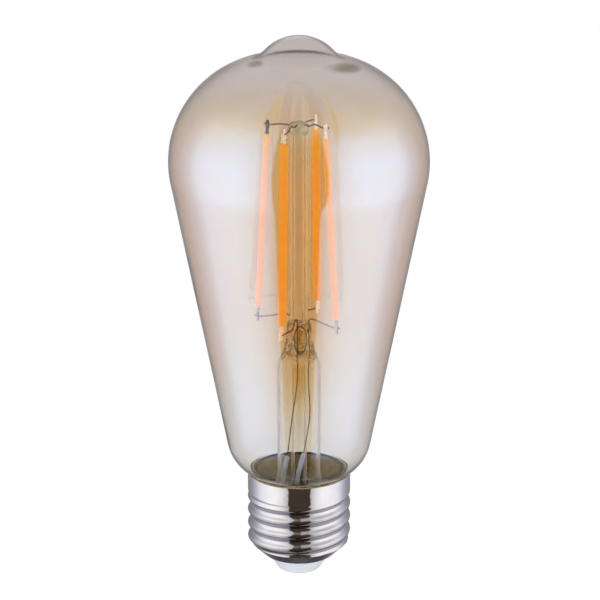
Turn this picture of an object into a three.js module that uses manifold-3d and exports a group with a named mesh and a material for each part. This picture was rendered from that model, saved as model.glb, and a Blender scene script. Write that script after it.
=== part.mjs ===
// A smart LED filament lamp: a pear-shaped amber glass envelope on an E27 screw cap.
// Inside stand a glass stem, a glass support column and four LED filaments on wires.
// The cap holds the driver and the radio. Millimetres, +Z up, and the origin is the
// centre of the centre contact's flat face, where the lamp meets the bottom of its holder.
import * as THREE from "three";
import { mergeVertices } from "three/addons/utils/BufferGeometryUtils.js";
import Module from "manifold-3d";

const wasm = await Module();
wasm.setup();

// ---- driving dimensions ----
const LAMP_LENGTH = 139.5;
const ENVELOPE_RADIUS = 32;
const GLASS_WALL = 0.6;
const DOME_RADIUS = 26.1; // of the arc that the big end is turned with
const DOME_Z = 108.3; // height of the widest circle
const CONE_DEG = 11.1; // half-angle of the long taper
const SHOULDER_RADIUS = 10.7;
const SHOULDER_Z = 35; // where the taper runs into the shoulder
const NUB_RADIUS = 11.6; // the small rise at the very top
const NUB_FILLET = 4;
const NECK_RADIUS = 11.7;
const NECK_TOP_Z = 26.9;
const NECK_END_RADIUS = 10.7; // the neck draws in to the stem's flare
const NECK_END_Z = 17.6;

const THREAD_PITCH = 25.4 / 7;
const THREAD_MAJOR = 13.1; // radii of the rolled thread's crest and root
const THREAD_MINOR = 12.1;
const THREAD_CREST_Z = 9.6; // the lowest crest on the -X side
const THREAD_TOP_Z = 21.6; // where the thread runs out into the collar
const RUN_OUT = { below: 0.7, above: 0.9 };
const COLLAR_RADIUS = 13.05;
const CAP_RIM_Z = 27.3;
const CAP_WALL = 0.4;
const CAP_BORE = 11.7; // inner radius behind the thread
const TAPER_TOP_Z = 8.4;
const TAPER_RADIUS = 12.45; // at TAPER_TOP_Z, closing in at 45 degrees
const CAP_LIP_RADIUS = 8.2;
const CAP_LIP_Z = 5.1;

const INSULATOR_TIP_RADIUS = 5.6;
const INSULATOR_TIP_Z = 0.8;
const INSULATOR_FLANGE_RADIUS = 9.9; // held behind the shell's lip
const INSULATOR_FLANGE_Z = 7.4;
const INSULATOR_FLOOR_Z = 4.2; // inside, round the rivet
const CONTACT_FLAT_RADIUS = 2.6;
const CONTACT_RADIUS = 3.9;
const RIVET_RADIUS = 1.1;
const RIVET_TOP_Z = 4.6;

const STEM_RADIUS = 5.45;
const STEM_WALL = 0.6;
const STEM_TOP_Z = 59.1;
const STEM_SHOULDER_Z = 56.6;
const PRESS_BOTTOM_Z = 59.2;
const PRESS_TOP_Z = 67.3;
const PRESS_BOTTOM_RADIUS = 4.2;
const PRESS_TOP_RADIUS = 3.25;
const EXHAUST_RADIUS = 2;
const EXHAUST_BORE = 1.35;
const EXHAUST_TIP_Z = 15.2;
const COLUMN_RADIUS = 2.25;
const COLUMN_BORE = 1.3;
const BUTTON_BOTTOM_Z = 115.4;
const BUTTON_TOP_Z = 118.3;

const FILAMENT_TOP_Z = 114.5; // the ends of the coated strips
const FILAMENT_FOOT_Z = 69.5;
// Where each strip ends, above and below: its distance from the axis and its bearing.
const FILAMENTS = [
  { top: { radius: 8.8, deg: 61 }, foot: { radius: 11.3, deg: 66 } },
  { top: { radius: 8.4, deg: 159 }, foot: { radius: 11.3, deg: 156 } },
  { top: { radius: 8.4, deg: 245 }, foot: { radius: 11.3, deg: 248.5 } },
  { top: { radius: 7, deg: 339 }, foot: { radius: 10.8, deg: 327.5 } },
];
const FILAMENT_SECTION = { width: 2.1, thickness: 1.3, round: 0.45 };
const TERMINAL = { width: 0.95, thickness: 0.25, length: 3.5 };
const TOP_CROSSING = 2.7; // from a strip's end to the wire across its terminal
const FOOT_CROSSING = 2.1;
const WIRE_PAST_TERMINAL = 0.8; // how far a wire reaches to each side of a terminal's middle

const WIRE_RADIUS = 0.25;
const THIN_WIRE_RADIUS = 0.15;
const WIRE_RING = 2.76; // radius at which the four wires stand in the press
const SLEEVE_RADIUS = 0.6;

const BOARD_RADIUS = 9.6;
const BOARD_BOTTOM_Z = 12.6;
const BOARD_THICKNESS = 1;
const GAP = 0.1; // left between faces that touch

// ---- materials ----
const material = (color, roughness, metalness = 0, opacity = 1) =>
  new THREE.MeshStandardMaterial({ color, roughness, metalness, opacity, transparent: opacity < 1 });
const AMBER_GLASS = material(0xc9a77c, 0.04, 0, 0.35);
const CLEAR_GLASS = material(0xe6ece8, 0.04, 0, 0.35);
const NICKEL_PLATE = material(0xd4d2cf, 0.16, 1);
const WHITE_INSULATOR = material(0xe3e8ee, 0.35);
const CONTACT_TIN = material(0xc4c2bd, 0.3, 1);
const PHOSPHOR = material(0xf0900f, 0.6);
const TERMINAL_METAL = material(0xd8c9a4, 0.3, 1);
const SUPPORT_NICKEL = material(0x4d3d33, 0.35, 1);
const COPPER = material(0x9a6a4c, 0.35, 1);
const WHITE_SLEEVE = material(0xdfe6f0, 0.6);
const CEMENT = material(0x8d7a3c, 0.8);
const BOARD_BROWN = material(0x6b5630, 0.5);
const BLACK_EPOXY = material(0x1c1c1e, 0.5);
const CAN_ALUMINIUM = material(0xb9bcc0, 0.35, 1);
const COIL_TAPE = material(0x2e4a3c, 0.6);
const RESISTOR_BODY = material(0x9fb4a6, 0.5);
const CERAMIC = material(0xd9d4c6, 0.5);
const TAN_FILM = material(0xc79a4a, 0.45);

// ---- helpers ----
const lamp = new THREE.Group();

function place(name, geometry, mat, parent = lamp) {
  const mesh = new THREE.Mesh(geometry, mat);
  mesh.name = name;
  parent.add(mesh);
  return mesh;
}

const at = (radius, z) => new THREE.Vector2(radius, z);
const radians = THREE.MathUtils.degToRad;

// Turns a profile of (radius, z) points about the Z axis, whichever way round it was drawn.
function turn(profile, segments) {
  const open = profile.filter((p, i) => i === 0 || p.distanceTo(profile[i - 1]) > 1e-4);
  const closed = open[0].x < 1e-6 ? open : [...open, open[0].clone()];
  const upward = THREE.ShapeUtils.isClockWise(open) ? closed.reverse() : closed;
  return new THREE.LatheGeometry(upward, segments).rotateX(Math.PI / 2);
}

// Points of an arc of a turned profile, from one direction to another, in degrees.
function arc(center, radius, fromDeg, toDeg, steps) {
  return Array.from({ length: steps + 1 }, (_, i) => {
    const a = radians(fromDeg + ((toDeg - fromDeg) * i) / steps);
    return at(center.x + radius * Math.cos(a), center.y + radius * Math.sin(a));
  });
}

const directionDeg = (from, to) => THREE.MathUtils.radToDeg(Math.atan2(to.y - from.y, to.x - from.x));

// Centre of the circle that touches two others from outside.
function outerFilletCenter(a, aRadius, b, bRadius, radius) {
  const ra = aRadius + radius;
  const rb = bRadius + radius;
  const line = b.clone().sub(a);
  const along = (ra * ra - rb * rb + line.lengthSq()) / (2 * line.length());
  const across = Math.sqrt(ra * ra - along * along);
  const unit = line.normalize();
  return at(a.x + unit.x * along + Math.abs(unit.y) * across, a.y + unit.y * along - unit.x * across);
}

// A rod of round section along a smooth curve through the points.
function rod(points, radius, steps = 12, sides = 6) {
  const path = new THREE.CatmullRomCurve3(points, false, "centripetal");
  const section = new THREE.Shape(
    Array.from({ length: sides }, (_, i) => {
      const a = (2 * Math.PI * i) / sides;
      return at(radius * Math.cos(a), radius * Math.sin(a));
    }),
  );
  return new THREE.ExtrudeGeometry(section, { extrudePath: path, steps });
}

function block(width, depth, height, x, y, z) {
  return new THREE.BoxGeometry(width, depth, height).translate(x, y, z);
}

function cylinder(radius, height, x, y, z, segments = 20) {
  return new THREE.CylinderGeometry(radius, radius, height, segments).rotateX(Math.PI / 2).translate(x, y, z);
}

function toSolid(geometry) {
  const bare = (geometry.index ? geometry.toNonIndexed() : geometry).clone();
  for (const name of ["normal", "uv"]) bare.deleteAttribute(name);
  const merged = mergeVertices(bare, 1e-4);
  return new wasm.Manifold(
    new wasm.Mesh({
      numProp: 3,
      vertProperties: new Float32Array(merged.attributes.position.array),
      triVerts: new Uint32Array(merged.index.array),
    }),
  );
}

function carve(geometry, ...tools) {
  const result = tools.reduce((solid, tool) => solid.subtract(toSolid(tool)), toSolid(geometry));
  const { vertProperties, triVerts } = result.getMesh();
  const made = new THREE.BufferGeometry();
  made.setAttribute("position", new THREE.BufferAttribute(vertProperties, 3));
  made.setIndex(new THREE.BufferAttribute(triVerts, 1));
  return made;
}

// ---- glass envelope ----
// The outline at a depth below the outer skin, from the neck's end up to the top.
function envelopeOutline(depth) {
  const dome = at(ENVELOPE_RADIUS - DOME_RADIUS, DOME_Z);
  const taper = radians(CONE_DEG);
  const coneTop = at(dome.x + DOME_RADIUS * Math.cos(taper), DOME_Z - DOME_RADIUS * Math.sin(taper));
  const shoulderTop = at(coneTop.x - (coneTop.y - SHOULDER_Z) * Math.tan(taper), SHOULDER_Z);
  const shoulder = at(
    shoulderTop.x - SHOULDER_RADIUS * Math.cos(taper),
    shoulderTop.y + SHOULDER_RADIUS * Math.sin(taper),
  );
  const nub = at(0, LAMP_LENGTH - NUB_RADIUS);
  const fillet = outerFilletCenter(dome, DOME_RADIUS, nub, NUB_RADIUS, NUB_FILLET);
  const footAngle = Math.acos((NECK_RADIUS + 0.1 - shoulder.x) / SHOULDER_RADIUS);
  const footDeg = -THREE.MathUtils.radToDeg(footAngle);
  return [
    at(NECK_END_RADIUS - depth, NECK_END_Z),
    at(NECK_RADIUS - depth, NECK_TOP_Z),
    ...arc(shoulder, SHOULDER_RADIUS - depth, footDeg, -CONE_DEG, 5),
    ...arc(dome, DOME_RADIUS - depth, -CONE_DEG, directionDeg(dome, fillet), 10),
    ...arc(fillet, NUB_FILLET + depth, directionDeg(fillet, dome), directionDeg(fillet, nub), 3),
    ...arc(nub, NUB_RADIUS - depth, directionDeg(nub, fillet), 90, 3),
  ];
}

place(
  "glass_envelope",
  turn([...envelopeOutline(0), ...envelopeOutline(GLASS_WALL).reverse()], 36),
  AMBER_GLASS,
);

// ---- glass stem ----
// The flare's lip closes the neck, and the tube rises to the shoulder below the press.
function stemTube() {
  const bore = STEM_RADIUS - STEM_WALL;
  const flare = (offset) =>
    new THREE.CubicBezierCurve(
      at(NECK_END_RADIUS - 1.3 - offset * 0.3, NECK_END_Z - GAP - offset),
      at(NECK_END_RADIUS - 3.2 - offset * 0.6, NECK_END_Z + 1.6 - offset),
      at(STEM_RADIUS - offset, NECK_END_Z + 4.5),
      at(STEM_RADIUS - offset, NECK_END_Z + 11.5),
    ).getPoints(5);
  const lip = at(NECK_END_RADIUS, NECK_END_Z - GAP);
  return turn(
    [
      lip,
      ...flare(0),
      at(STEM_RADIUS, STEM_SHOULDER_Z - 1),
      at(STEM_RADIUS - 0.25, STEM_SHOULDER_Z + 0.6),
      at(PRESS_BOTTOM_RADIUS, STEM_TOP_Z),
      at(PRESS_BOTTOM_RADIUS - STEM_WALL, STEM_TOP_Z),
      at(bore - 0.2, STEM_SHOULDER_Z),
      at(bore, STEM_SHOULDER_Z - 1.2),
      ...flare(STEM_WALL).reverse(),
      at(NECK_END_RADIUS - 0.2, lip.y - STEM_WALL),
    ],
    24,
  );
}
place("stem_tube", stemTube(), CLEAR_GLASS);

// Where each bottom wire stands in the press. The first two are short anchors, and the
// last two are the lead-in wires, which pass right through.
const PRESS_WIRE_DEG = [62, 139, 262, 328];

const polar = (radius, deg, z) =>
  new THREE.Vector3(radius * Math.cos(radians(deg)), radius * Math.sin(radians(deg)), z);

function stemPress() {
  const solid = turn(
    [
      at(0, PRESS_BOTTOM_Z),
      at(PRESS_BOTTOM_RADIUS, PRESS_BOTTOM_Z),
      at(PRESS_BOTTOM_RADIUS - 0.2, PRESS_BOTTOM_Z + 1.2),
      at(PRESS_TOP_RADIUS, PRESS_BOTTOM_Z + 4.4),
      at(PRESS_TOP_RADIUS, PRESS_TOP_Z - 0.2),
      at(PRESS_TOP_RADIUS - 0.15, PRESS_TOP_Z),
      at(0, PRESS_TOP_Z),
    ],
    24,
  );
  const height = PRESS_TOP_Z - PRESS_BOTTOM_Z;
  const holes = PRESS_WIRE_DEG.map((deg) => {
    const p = polar(WIRE_RING, deg, PRESS_BOTTOM_Z + height / 2);
    return cylinder(WIRE_RADIUS + 0.1, height + 2, p.x, p.y, p.z, 10);
  });
  return carve(solid, ...holes);
}
place("stem_press", stemPress(), CLEAR_GLASS);

place(
  "exhaust_tube",
  turn(
    [
      at(0, EXHAUST_TIP_Z),
      at(0.7, EXHAUST_TIP_Z + 0.4),
      at(EXHAUST_RADIUS, EXHAUST_TIP_Z + 2.6),
      at(EXHAUST_RADIUS, STEM_TOP_Z),
      at(EXHAUST_BORE, STEM_TOP_Z),
      at(EXHAUST_BORE, EXHAUST_TIP_Z + 3.2),
      at(0, EXHAUST_TIP_Z + 1.4),
    ],
    16,
  ),
  CLEAR_GLASS,
);

place(
  "support_column",
  turn(
    [
      at(COLUMN_BORE, PRESS_TOP_Z + GAP),
      at(COLUMN_RADIUS, PRESS_TOP_Z + GAP),
      at(COLUMN_RADIUS, BUTTON_BOTTOM_Z - GAP),
      at(COLUMN_BORE, BUTTON_BOTTOM_Z - GAP),
    ],
    20,
  ),
  CLEAR_GLASS,
);

// ---- LED filaments ----
// Each strip has a frame of its own at its middle: +X outward, +Z up along the strip.
const strips = FILAMENTS.map(({ top, foot }) => {
  const upper = polar(top.radius, top.deg, FILAMENT_TOP_Z);
  const lower = polar(foot.radius, foot.deg, FILAMENT_FOOT_Z);
  const middle = upper.clone().add(lower).divideScalar(2);
  const along = upper.clone().sub(lower).normalize();
  const sideways = along.clone().cross(middle.clone().setZ(0)).normalize();
  const outward = sideways.clone().cross(along);
  const frame = new THREE.Matrix4().makeBasis(outward, sideways, along).setPosition(middle);
  return { frame, length: upper.distanceTo(lower) };
});

function filamentBody(length) {
  const { width, thickness, round } = FILAMENT_SECTION;
  const corners = [[1, 1], [-1, 1], [-1, -1], [1, -1]];
  const section = new THREE.Shape(
    corners.flatMap(([sx, sy]) => {
      const flat = at((sx * thickness) / 2, sy * (width / 2 - round));
      const edge = at(sx * (thickness / 2 - round), (sy * width) / 2);
      return sx * sy > 0 ? [flat, edge] : [edge, flat];
    }),
  );
  const body = new THREE.ExtrudeGeometry(section, { depth: length, bevelEnabled: false, steps: 1 });
  return body.translate(0, 0, -length / 2);
}

strips.forEach(({ frame, length }, i) => {
  const holder = new THREE.Group();
  holder.applyMatrix4(frame);
  lamp.add(holder);
  place(`led_filament_${i + 1}`, filamentBody(length), PHOSPHOR, holder);
  for (const [end, side] of [["top", 1], ["bottom", -1]]) {
    const middle = side * (length / 2 + GAP + TERMINAL.length / 2);
    const blade = block(TERMINAL.width, TERMINAL.thickness, TERMINAL.length, 0, 0, middle);
    place(`${end}_terminal_${i + 1}`, blade, TERMINAL_METAL, holder);
  }
});

// ---- wires of the mount ----
// A wire runs along one face of a terminal, so far outward from the terminal's middle.
const WIRE_SIDE = TERMINAL.thickness / 2 + WIRE_RADIUS + 0.08;
function atTerminal(i, end, outward) {
  const { frame, length } = strips[i];
  const height = end === "top" ? length / 2 + TOP_CROSSING : -length / 2 - FOOT_CROSSING;
  return new THREE.Vector3(outward, WIRE_SIDE, height).applyMatrix4(frame);
}

// Each top wire grows from the button, arches by its own amount and runs past its terminal.
const TOP_WIRE_Z = 117.3;
const TOP_ARCH = [0.1, 0.1, 0.7, 0.6];
FILAMENTS.forEach(({ top }, i) => {
  const points = [
    polar(1, top.deg, TOP_WIRE_Z),
    polar(COLUMN_RADIUS + 0.6, top.deg, TOP_WIRE_Z + TOP_ARCH[i] * 0.2),
    polar(top.radius * 0.55, top.deg + 2, TOP_WIRE_Z + TOP_ARCH[i]),
    atTerminal(i, "top", -WIRE_PAST_TERMINAL),
    atTerminal(i, "top", WIRE_PAST_TERMINAL),
  ];
  place(`top_wire_${i + 1}`, rod(points, WIRE_RADIUS), SUPPORT_NICKEL);
});

function columnButton() {
  const solid = turn(
    [
      at(0, BUTTON_BOTTOM_Z),
      at(COLUMN_RADIUS, BUTTON_BOTTOM_Z),
      at(COLUMN_RADIUS + 0.3, BUTTON_BOTTOM_Z + 0.8),
      at(COLUMN_RADIUS + 0.3, BUTTON_TOP_Z - 1),
      at(COLUMN_RADIUS - 0.5, BUTTON_TOP_Z - 0.2),
      at(COLUMN_RADIUS - 1.3, BUTTON_TOP_Z),
      at(0, BUTTON_TOP_Z),
    ],
    20,
  );
  const sockets = FILAMENTS.map(({ top }) =>
    cylinder(WIRE_RADIUS + 0.2, 4, 0, 0, 0, 10)
      .rotateY(Math.PI / 2)
      .translate(2.75, 0, TOP_WIRE_Z)
      .rotateZ(radians(top.deg)),
  );
  return carve(solid, ...sockets);
}
place("column_button", columnButton(), CLEAR_GLASS);

// Each bottom wire stands in the press, is bent over its edge and runs past its terminal.
// A bend is the share of the way out to the terminal, and the height above the press.
function bottomWire(i, footZ, bends) {
  const press = polar(WIRE_RING, PRESS_WIRE_DEG[i], PRESS_TOP_Z);
  const end = atTerminal(i, "bottom", -WIRE_PAST_TERMINAL);
  return rod(
    [
      press.clone().setZ(footZ),
      press.clone().setZ(PRESS_TOP_Z - 0.4),
      ...bends.map(([share, height]) => press.clone().lerp(end, share).setZ(PRESS_TOP_Z + height)),
      end,
      atTerminal(i, "bottom", WIRE_PAST_TERMINAL),
    ],
    WIRE_RADIUS,
    18,
  );
}
const ANCHOR_FOOT_Z = PRESS_TOP_Z - 4;
const OVER_EDGE = [[0.01, 0.7], [0.09, 1.2]];
const CURLED_OVER = [[0.01, 0.9], [0.12, 1.6], [0.25, 1.3], [0.34, 0.2], [0.45, -0.3]];
const ANCHOR_1 = bottomWire(0, ANCHOR_FOOT_Z, [...OVER_EDGE, [0.35, 1.2]]);
const ANCHOR_2 = bottomWire(1, ANCHOR_FOOT_Z, OVER_EDGE);
const LEAD_IN_LEFT = bottomWire(2, PRESS_BOTTOM_Z, CURLED_OVER);
const LEAD_IN_RIGHT = bottomWire(3, PRESS_BOTTOM_Z, OVER_EDGE);
place("anchor_wire_1", ANCHOR_1, SUPPORT_NICKEL);
place("anchor_wire_2", ANCHOR_2, SUPPORT_NICKEL);
place("lead_in_wire_left", LEAD_IN_LEFT, SUPPORT_NICKEL);
place("lead_in_wire_right", LEAD_IN_RIGHT, SUPPORT_NICKEL);

// ---- leads down the stem ----
// Thin wires hang from the press, and sleeves cover them on the way into the cap.
const LEFT_TOP = polar(WIRE_RING, PRESS_WIRE_DEG[2], PRESS_BOTTOM_Z - GAP);
const RIGHT_TOP = polar(WIRE_RING, PRESS_WIRE_DEG[3], PRESS_BOTTOM_Z - GAP);
const boardTopZ = BOARD_BOTTOM_Z + BOARD_THICKNESS;
const LEADS = {
  left: {
    wire: [
      LEFT_TOP,
      LEFT_TOP.clone().setZ(53),
      new THREE.Vector3(-1.9, -2.4, 41),
      new THREE.Vector3(-2.9, -1.15, 31.9),
    ],
    sleeve: [
      new THREE.Vector3(-2.92, -1.13, 31.7),
      new THREE.Vector3(-3.45, -1, 28.5),
      new THREE.Vector3(-4.2, -0.8, 24.5),
      new THREE.Vector3(-4.6, -1.4, 20),
      new THREE.Vector3(-4.8, -2.2, boardTopZ + 2 * GAP),
    ],
  },
  right: {
    wire: [
      RIGHT_TOP,
      RIGHT_TOP.clone().setZ(52),
      new THREE.Vector3(2.7, -1.7, 43),
      new THREE.Vector3(1.2, -3.05, 33.4),
    ],
    sleeve: [
      new THREE.Vector3(1.15, -3.08, 33.2),
      new THREE.Vector3(0.4, -3.35, 30),
      new THREE.Vector3(-0.3, -3.7, 26.5),
      new THREE.Vector3(-0.6, -5.2, boardTopZ + 2 * GAP),
    ],
  },
};
for (const [side, { wire, sleeve }] of Object.entries(LEADS)) {
  place(`lead_wire_${side}`, rod(wire, THIN_WIRE_RADIUS, 10), COPPER);
  place(`lead_sleeve_${side}`, rod(sleeve, SLEEVE_RADIUS, 10), WHITE_SLEEVE);
}

// ---- screw cap ----
// The rolled shell's outer radius. Crests climb one pitch a turn, right-handed, and the
// thread runs out into the collar above and is cut off by the taper below.
function shellRadius(angle, z) {
  const turns = (angle - Math.PI) / (2 * Math.PI);
  const phase = (z - THREAD_CREST_Z) / THREAD_PITCH - turns;
  const middle = (THREAD_MAJOR + THREAD_MINOR) / 2;
  const rolled = middle + ((THREAD_MAJOR - THREAD_MINOR) / 2) * Math.cos(2 * Math.PI * phase);
  const collar = THREE.MathUtils.smoothstep(z, THREAD_TOP_Z - RUN_OUT.below, THREAD_TOP_Z + RUN_OUT.above);
  const wall = THREE.MathUtils.lerp(rolled, COLLAR_RADIUS, collar);
  return Math.min(wall, TAPER_RADIUS - (TAPER_TOP_Z - z));
}

function capShell() {
  const threadStart = TAPER_TOP_Z - 0.4;
  const levels = Array.from({ length: 26 }, (_, i) =>
    at(COLLAR_RADIUS, threadStart + ((THREAD_TOP_Z + 1 - threadStart) * i) / 25),
  );
  const boreFoot = CAP_LIP_Z + CAP_WALL;
  const shell = turn(
    [
      at(CAP_LIP_RADIUS, CAP_LIP_Z),
      at(CAP_LIP_RADIUS + 0.9, CAP_LIP_Z),
      ...levels,
      at(COLLAR_RADIUS, CAP_RIM_Z - 0.15),
      at(COLLAR_RADIUS - 0.15, CAP_RIM_Z),
      at(COLLAR_RADIUS - CAP_WALL, CAP_RIM_Z),
      at(COLLAR_RADIUS - CAP_WALL, THREAD_TOP_Z + 1.2),
      at(CAP_BORE, THREAD_TOP_Z + 0.2),
      at(CAP_BORE, TAPER_TOP_Z + 0.2),
      at(CAP_LIP_RADIUS + 0.7, boreFoot),
      at(CAP_LIP_RADIUS, boreFoot),
    ],
    36,
  );
  const position = shell.getAttribute("position");
  for (let i = 0; i < position.count; i++) {
    const [x, y, z] = [position.getX(i), position.getY(i), position.getZ(i)];
    const radius = Math.hypot(x, y);
    const onThread = radius > COLLAR_RADIUS - 0.01 && z < THREAD_TOP_Z + 1.1;
    if (!onThread) continue;
    const scale = shellRadius(Math.atan2(y, x), z) / radius;
    position.setXY(i, x * scale, y * scale);
  }
  return shell;
}
place("cap_shell", capShell(), NICKEL_PLATE);

place(
  "cap_insulator",
  turn(
    [
      at(RIVET_RADIUS + GAP, INSULATOR_TIP_Z),
      at(INSULATOR_TIP_RADIUS - 0.4, INSULATOR_TIP_Z),
      at(INSULATOR_TIP_RADIUS, INSULATOR_TIP_Z + 0.35),
      at(INSULATOR_TIP_RADIUS + 1.3, INSULATOR_TIP_Z + 2.4),
      at(CAP_LIP_RADIUS - 0.5, CAP_LIP_Z - 0.6),
      at(CAP_LIP_RADIUS - GAP, CAP_LIP_Z),
      at(CAP_LIP_RADIUS - GAP, CAP_LIP_Z + CAP_WALL + GAP),
      at(CAP_LIP_RADIUS + 0.55, CAP_LIP_Z + CAP_WALL + GAP),
      at(INSULATOR_FLANGE_RADIUS, INSULATOR_FLANGE_Z - 0.6),
      at(INSULATOR_FLANGE_RADIUS, INSULATOR_FLANGE_Z),
      at(INSULATOR_FLANGE_RADIUS - 0.8, INSULATOR_FLANGE_Z),
      at(INSULATOR_TIP_RADIUS + 1, INSULATOR_FLOOR_Z + 0.4),
      at(RIVET_RADIUS + GAP, INSULATOR_FLOOR_Z),
    ],
    28,
  ),
  WHITE_INSULATOR,
);

place(
  "centre_contact",
  turn(
    [
      at(0, 0),
      at(CONTACT_FLAT_RADIUS, 0),
      at(CONTACT_RADIUS - 0.5, 0.22),
      at(CONTACT_RADIUS, 0.5),
      at(CONTACT_RADIUS, INSULATOR_TIP_Z - GAP),
      at(RIVET_RADIUS, INSULATOR_TIP_Z - GAP),
      at(RIVET_RADIUS, RIVET_TOP_Z - 0.3),
      at(RIVET_RADIUS - 0.3, RIVET_TOP_Z),
      at(0, RIVET_TOP_Z),
    ],
    24,
  ),
  CONTACT_TIN,
);

// Cement fills the room between the glass neck and the collar.
const CEMENT_FOOT_Z = 19.5;
const GLASS_GAP = 0.15;
const neckRadiusAt = (z) =>
  THREE.MathUtils.mapLinear(z, NECK_END_Z, NECK_TOP_Z, NECK_END_RADIUS, NECK_RADIUS);
place(
  "cap_cement",
  turn(
    [
      at(neckRadiusAt(CEMENT_FOOT_Z) + GLASS_GAP, CEMENT_FOOT_Z),
      at(CAP_BORE - GLASS_GAP, CEMENT_FOOT_Z),
      at(CAP_BORE - GLASS_GAP, THREAD_TOP_Z + 0.3),
      at(COLLAR_RADIUS - CAP_WALL - GLASS_GAP, THREAD_TOP_Z + 1.5),
      at(COLLAR_RADIUS - CAP_WALL - GLASS_GAP, CAP_RIM_Z - 0.1),
      at(NECK_RADIUS + GLASS_GAP, NECK_TOP_Z - 0.1),
    ],
    36,
  ),
  CEMENT,
);

// ---- driver and radio in the cap ----
place(
  "driver_insulation",
  turn([at(10.4, 8.6), at(10.7, 8.6), at(10.7, 14.9), at(10.4, 14.9)], 24),
  TAN_FILM,
);

function driverBoard() {
  const outline = new THREE.Shape().absarc(0, 0, BOARD_RADIUS, 0, 2 * Math.PI);
  const holes = [[4.4, 4.4], [-5.4, 3], [5.6, -4.6]];
  outline.holes = holes.map(([x, y]) => new THREE.Path().absarc(x, y, 0.6, 0, 2 * Math.PI));
  return new THREE.ExtrudeGeometry(outline, {
    depth: BOARD_THICKNESS,
    bevelEnabled: false,
    curveSegments: 10,
  }).translate(0, 0, BOARD_BOTTOM_Z);
}
place("driver_board", driverBoard(), BOARD_BROWN);

// Parts under the driver board. x and y are their middles.
const CAPACITOR = { radius: 3.1, height: 5.6, x: 4.2, y: 3.4 };
const INDUCTOR = { radius: 2.6, height: 5, x: -4.6, y: 3.6 };
const RECTIFIER = { width: 4.4, depth: 3.6, height: 1.7, x: -4.6, y: -3.2 };
const DRIVER_CHIP = { width: 3.9, depth: 4.6, height: 1.5, x: 5.4, y: -2.6 };
const under = (part) => BOARD_BOTTOM_Z - GAP - part.height / 2;
const can = (part) => cylinder(part.radius, part.height, part.x, part.y, under(part));
const box = (part, z) => block(part.width, part.depth, part.height, part.x, part.y, z);
place("filter_capacitor", can(CAPACITOR), CAN_ALUMINIUM);
place("power_inductor", can(INDUCTOR), COIL_TAPE);
place("bridge_rectifier", box(RECTIFIER, under(RECTIFIER)), BLACK_EPOXY);
place("driver_chip", box(DRIVER_CHIP, under(DRIVER_CHIP)), BLACK_EPOXY);

// The radio's own board lies on the driver board and carries a shield and an antenna.
const RADIO_BOARD = { width: 6.4, depth: 6, height: 0.7, x: 3.9, y: 3.6 };
const RADIO_SHIELD = { width: 4.4, depth: 4.8, height: 1.3, x: 3.2, y: 3.6 };
const ANTENNA = { width: 0.9, depth: 4.2, height: 0.8, x: 6.3, y: 3.6 };
const radioTopZ = boardTopZ + GAP + RADIO_BOARD.height;
const onRadio = (part) => radioTopZ + GAP + part.height / 2;
place("radio_board", box(RADIO_BOARD, radioTopZ - RADIO_BOARD.height / 2), BOARD_BROWN);
place("radio_shield", box(RADIO_SHIELD, onRadio(RADIO_SHIELD)), CAN_ALUMINIUM);
place("chip_antenna", box(ANTENNA, onRadio(ANTENNA)), CERAMIC);

// The fusible resistor stands above the rivet, to one side, and feeds the board from it.
const RESISTOR = { radius: 1.3, height: 4.6, y: -3.4, z: 9 };
const RESISTOR_LEAD = { height: 1.1, z: 11.95 };
const resistorBody = cylinder(RESISTOR.radius, RESISTOR.height, 0, RESISTOR.y, RESISTOR.z, 14);
const resistorLead = cylinder(WIRE_RADIUS, RESISTOR_LEAD.height, 0, RESISTOR.y, RESISTOR_LEAD.z, 8);
place("fusible_resistor", resistorBody, RESISTOR_BODY);
place("resistor_lead", resistorLead, COPPER);
place(
  "contact_wire",
  rod(
    [
      new THREE.Vector3(0, 0, RIVET_TOP_Z + 0.15),
      new THREE.Vector3(0, 0, RIVET_TOP_Z + 0.4),
      new THREE.Vector3(0, -0.7, RIVET_TOP_Z + 0.9),
      new THREE.Vector3(0, -2.7, RIVET_TOP_Z + 1.1),
      new THREE.Vector3(0, RESISTOR.y, RIVET_TOP_Z + 1.6),
      new THREE.Vector3(0, RESISTOR.y, RIVET_TOP_Z + 2),
    ],
    WIRE_RADIUS,
    10,
  ),
  COPPER,
);
place(
  "shell_wire",
  rod(
    [
      new THREE.Vector3(8.3, -1.5, boardTopZ + GAP + WIRE_RADIUS),
      new THREE.Vector3(9.1, -1.6, boardTopZ + 0.9),
      new THREE.Vector3(9.8, -1.8, boardTopZ + 2),
      new THREE.Vector3(10.7, -1.9, boardTopZ + 2.4),
      new THREE.Vector3(11.3, -2, boardTopZ + 2.3),
    ],
    WIRE_RADIUS,
    12,
  ),
  COPPER,
);

export default lamp;
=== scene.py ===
"""A smart LED filament lamp: amber glass envelope, glass mount with four LED filaments, E27 cap.

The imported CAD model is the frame. Lengths below are in millimetres and take the CAD's own
dimensions; the meshes are made in metres.
"""

from math import acos, atan2, ceil, copysign, cos, degrees, exp, hypot, pi, radians, sin, sqrt, tan

import bmesh
import bpy
from mathutils import Matrix, Vector
from mathutils.noise import noise


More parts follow.
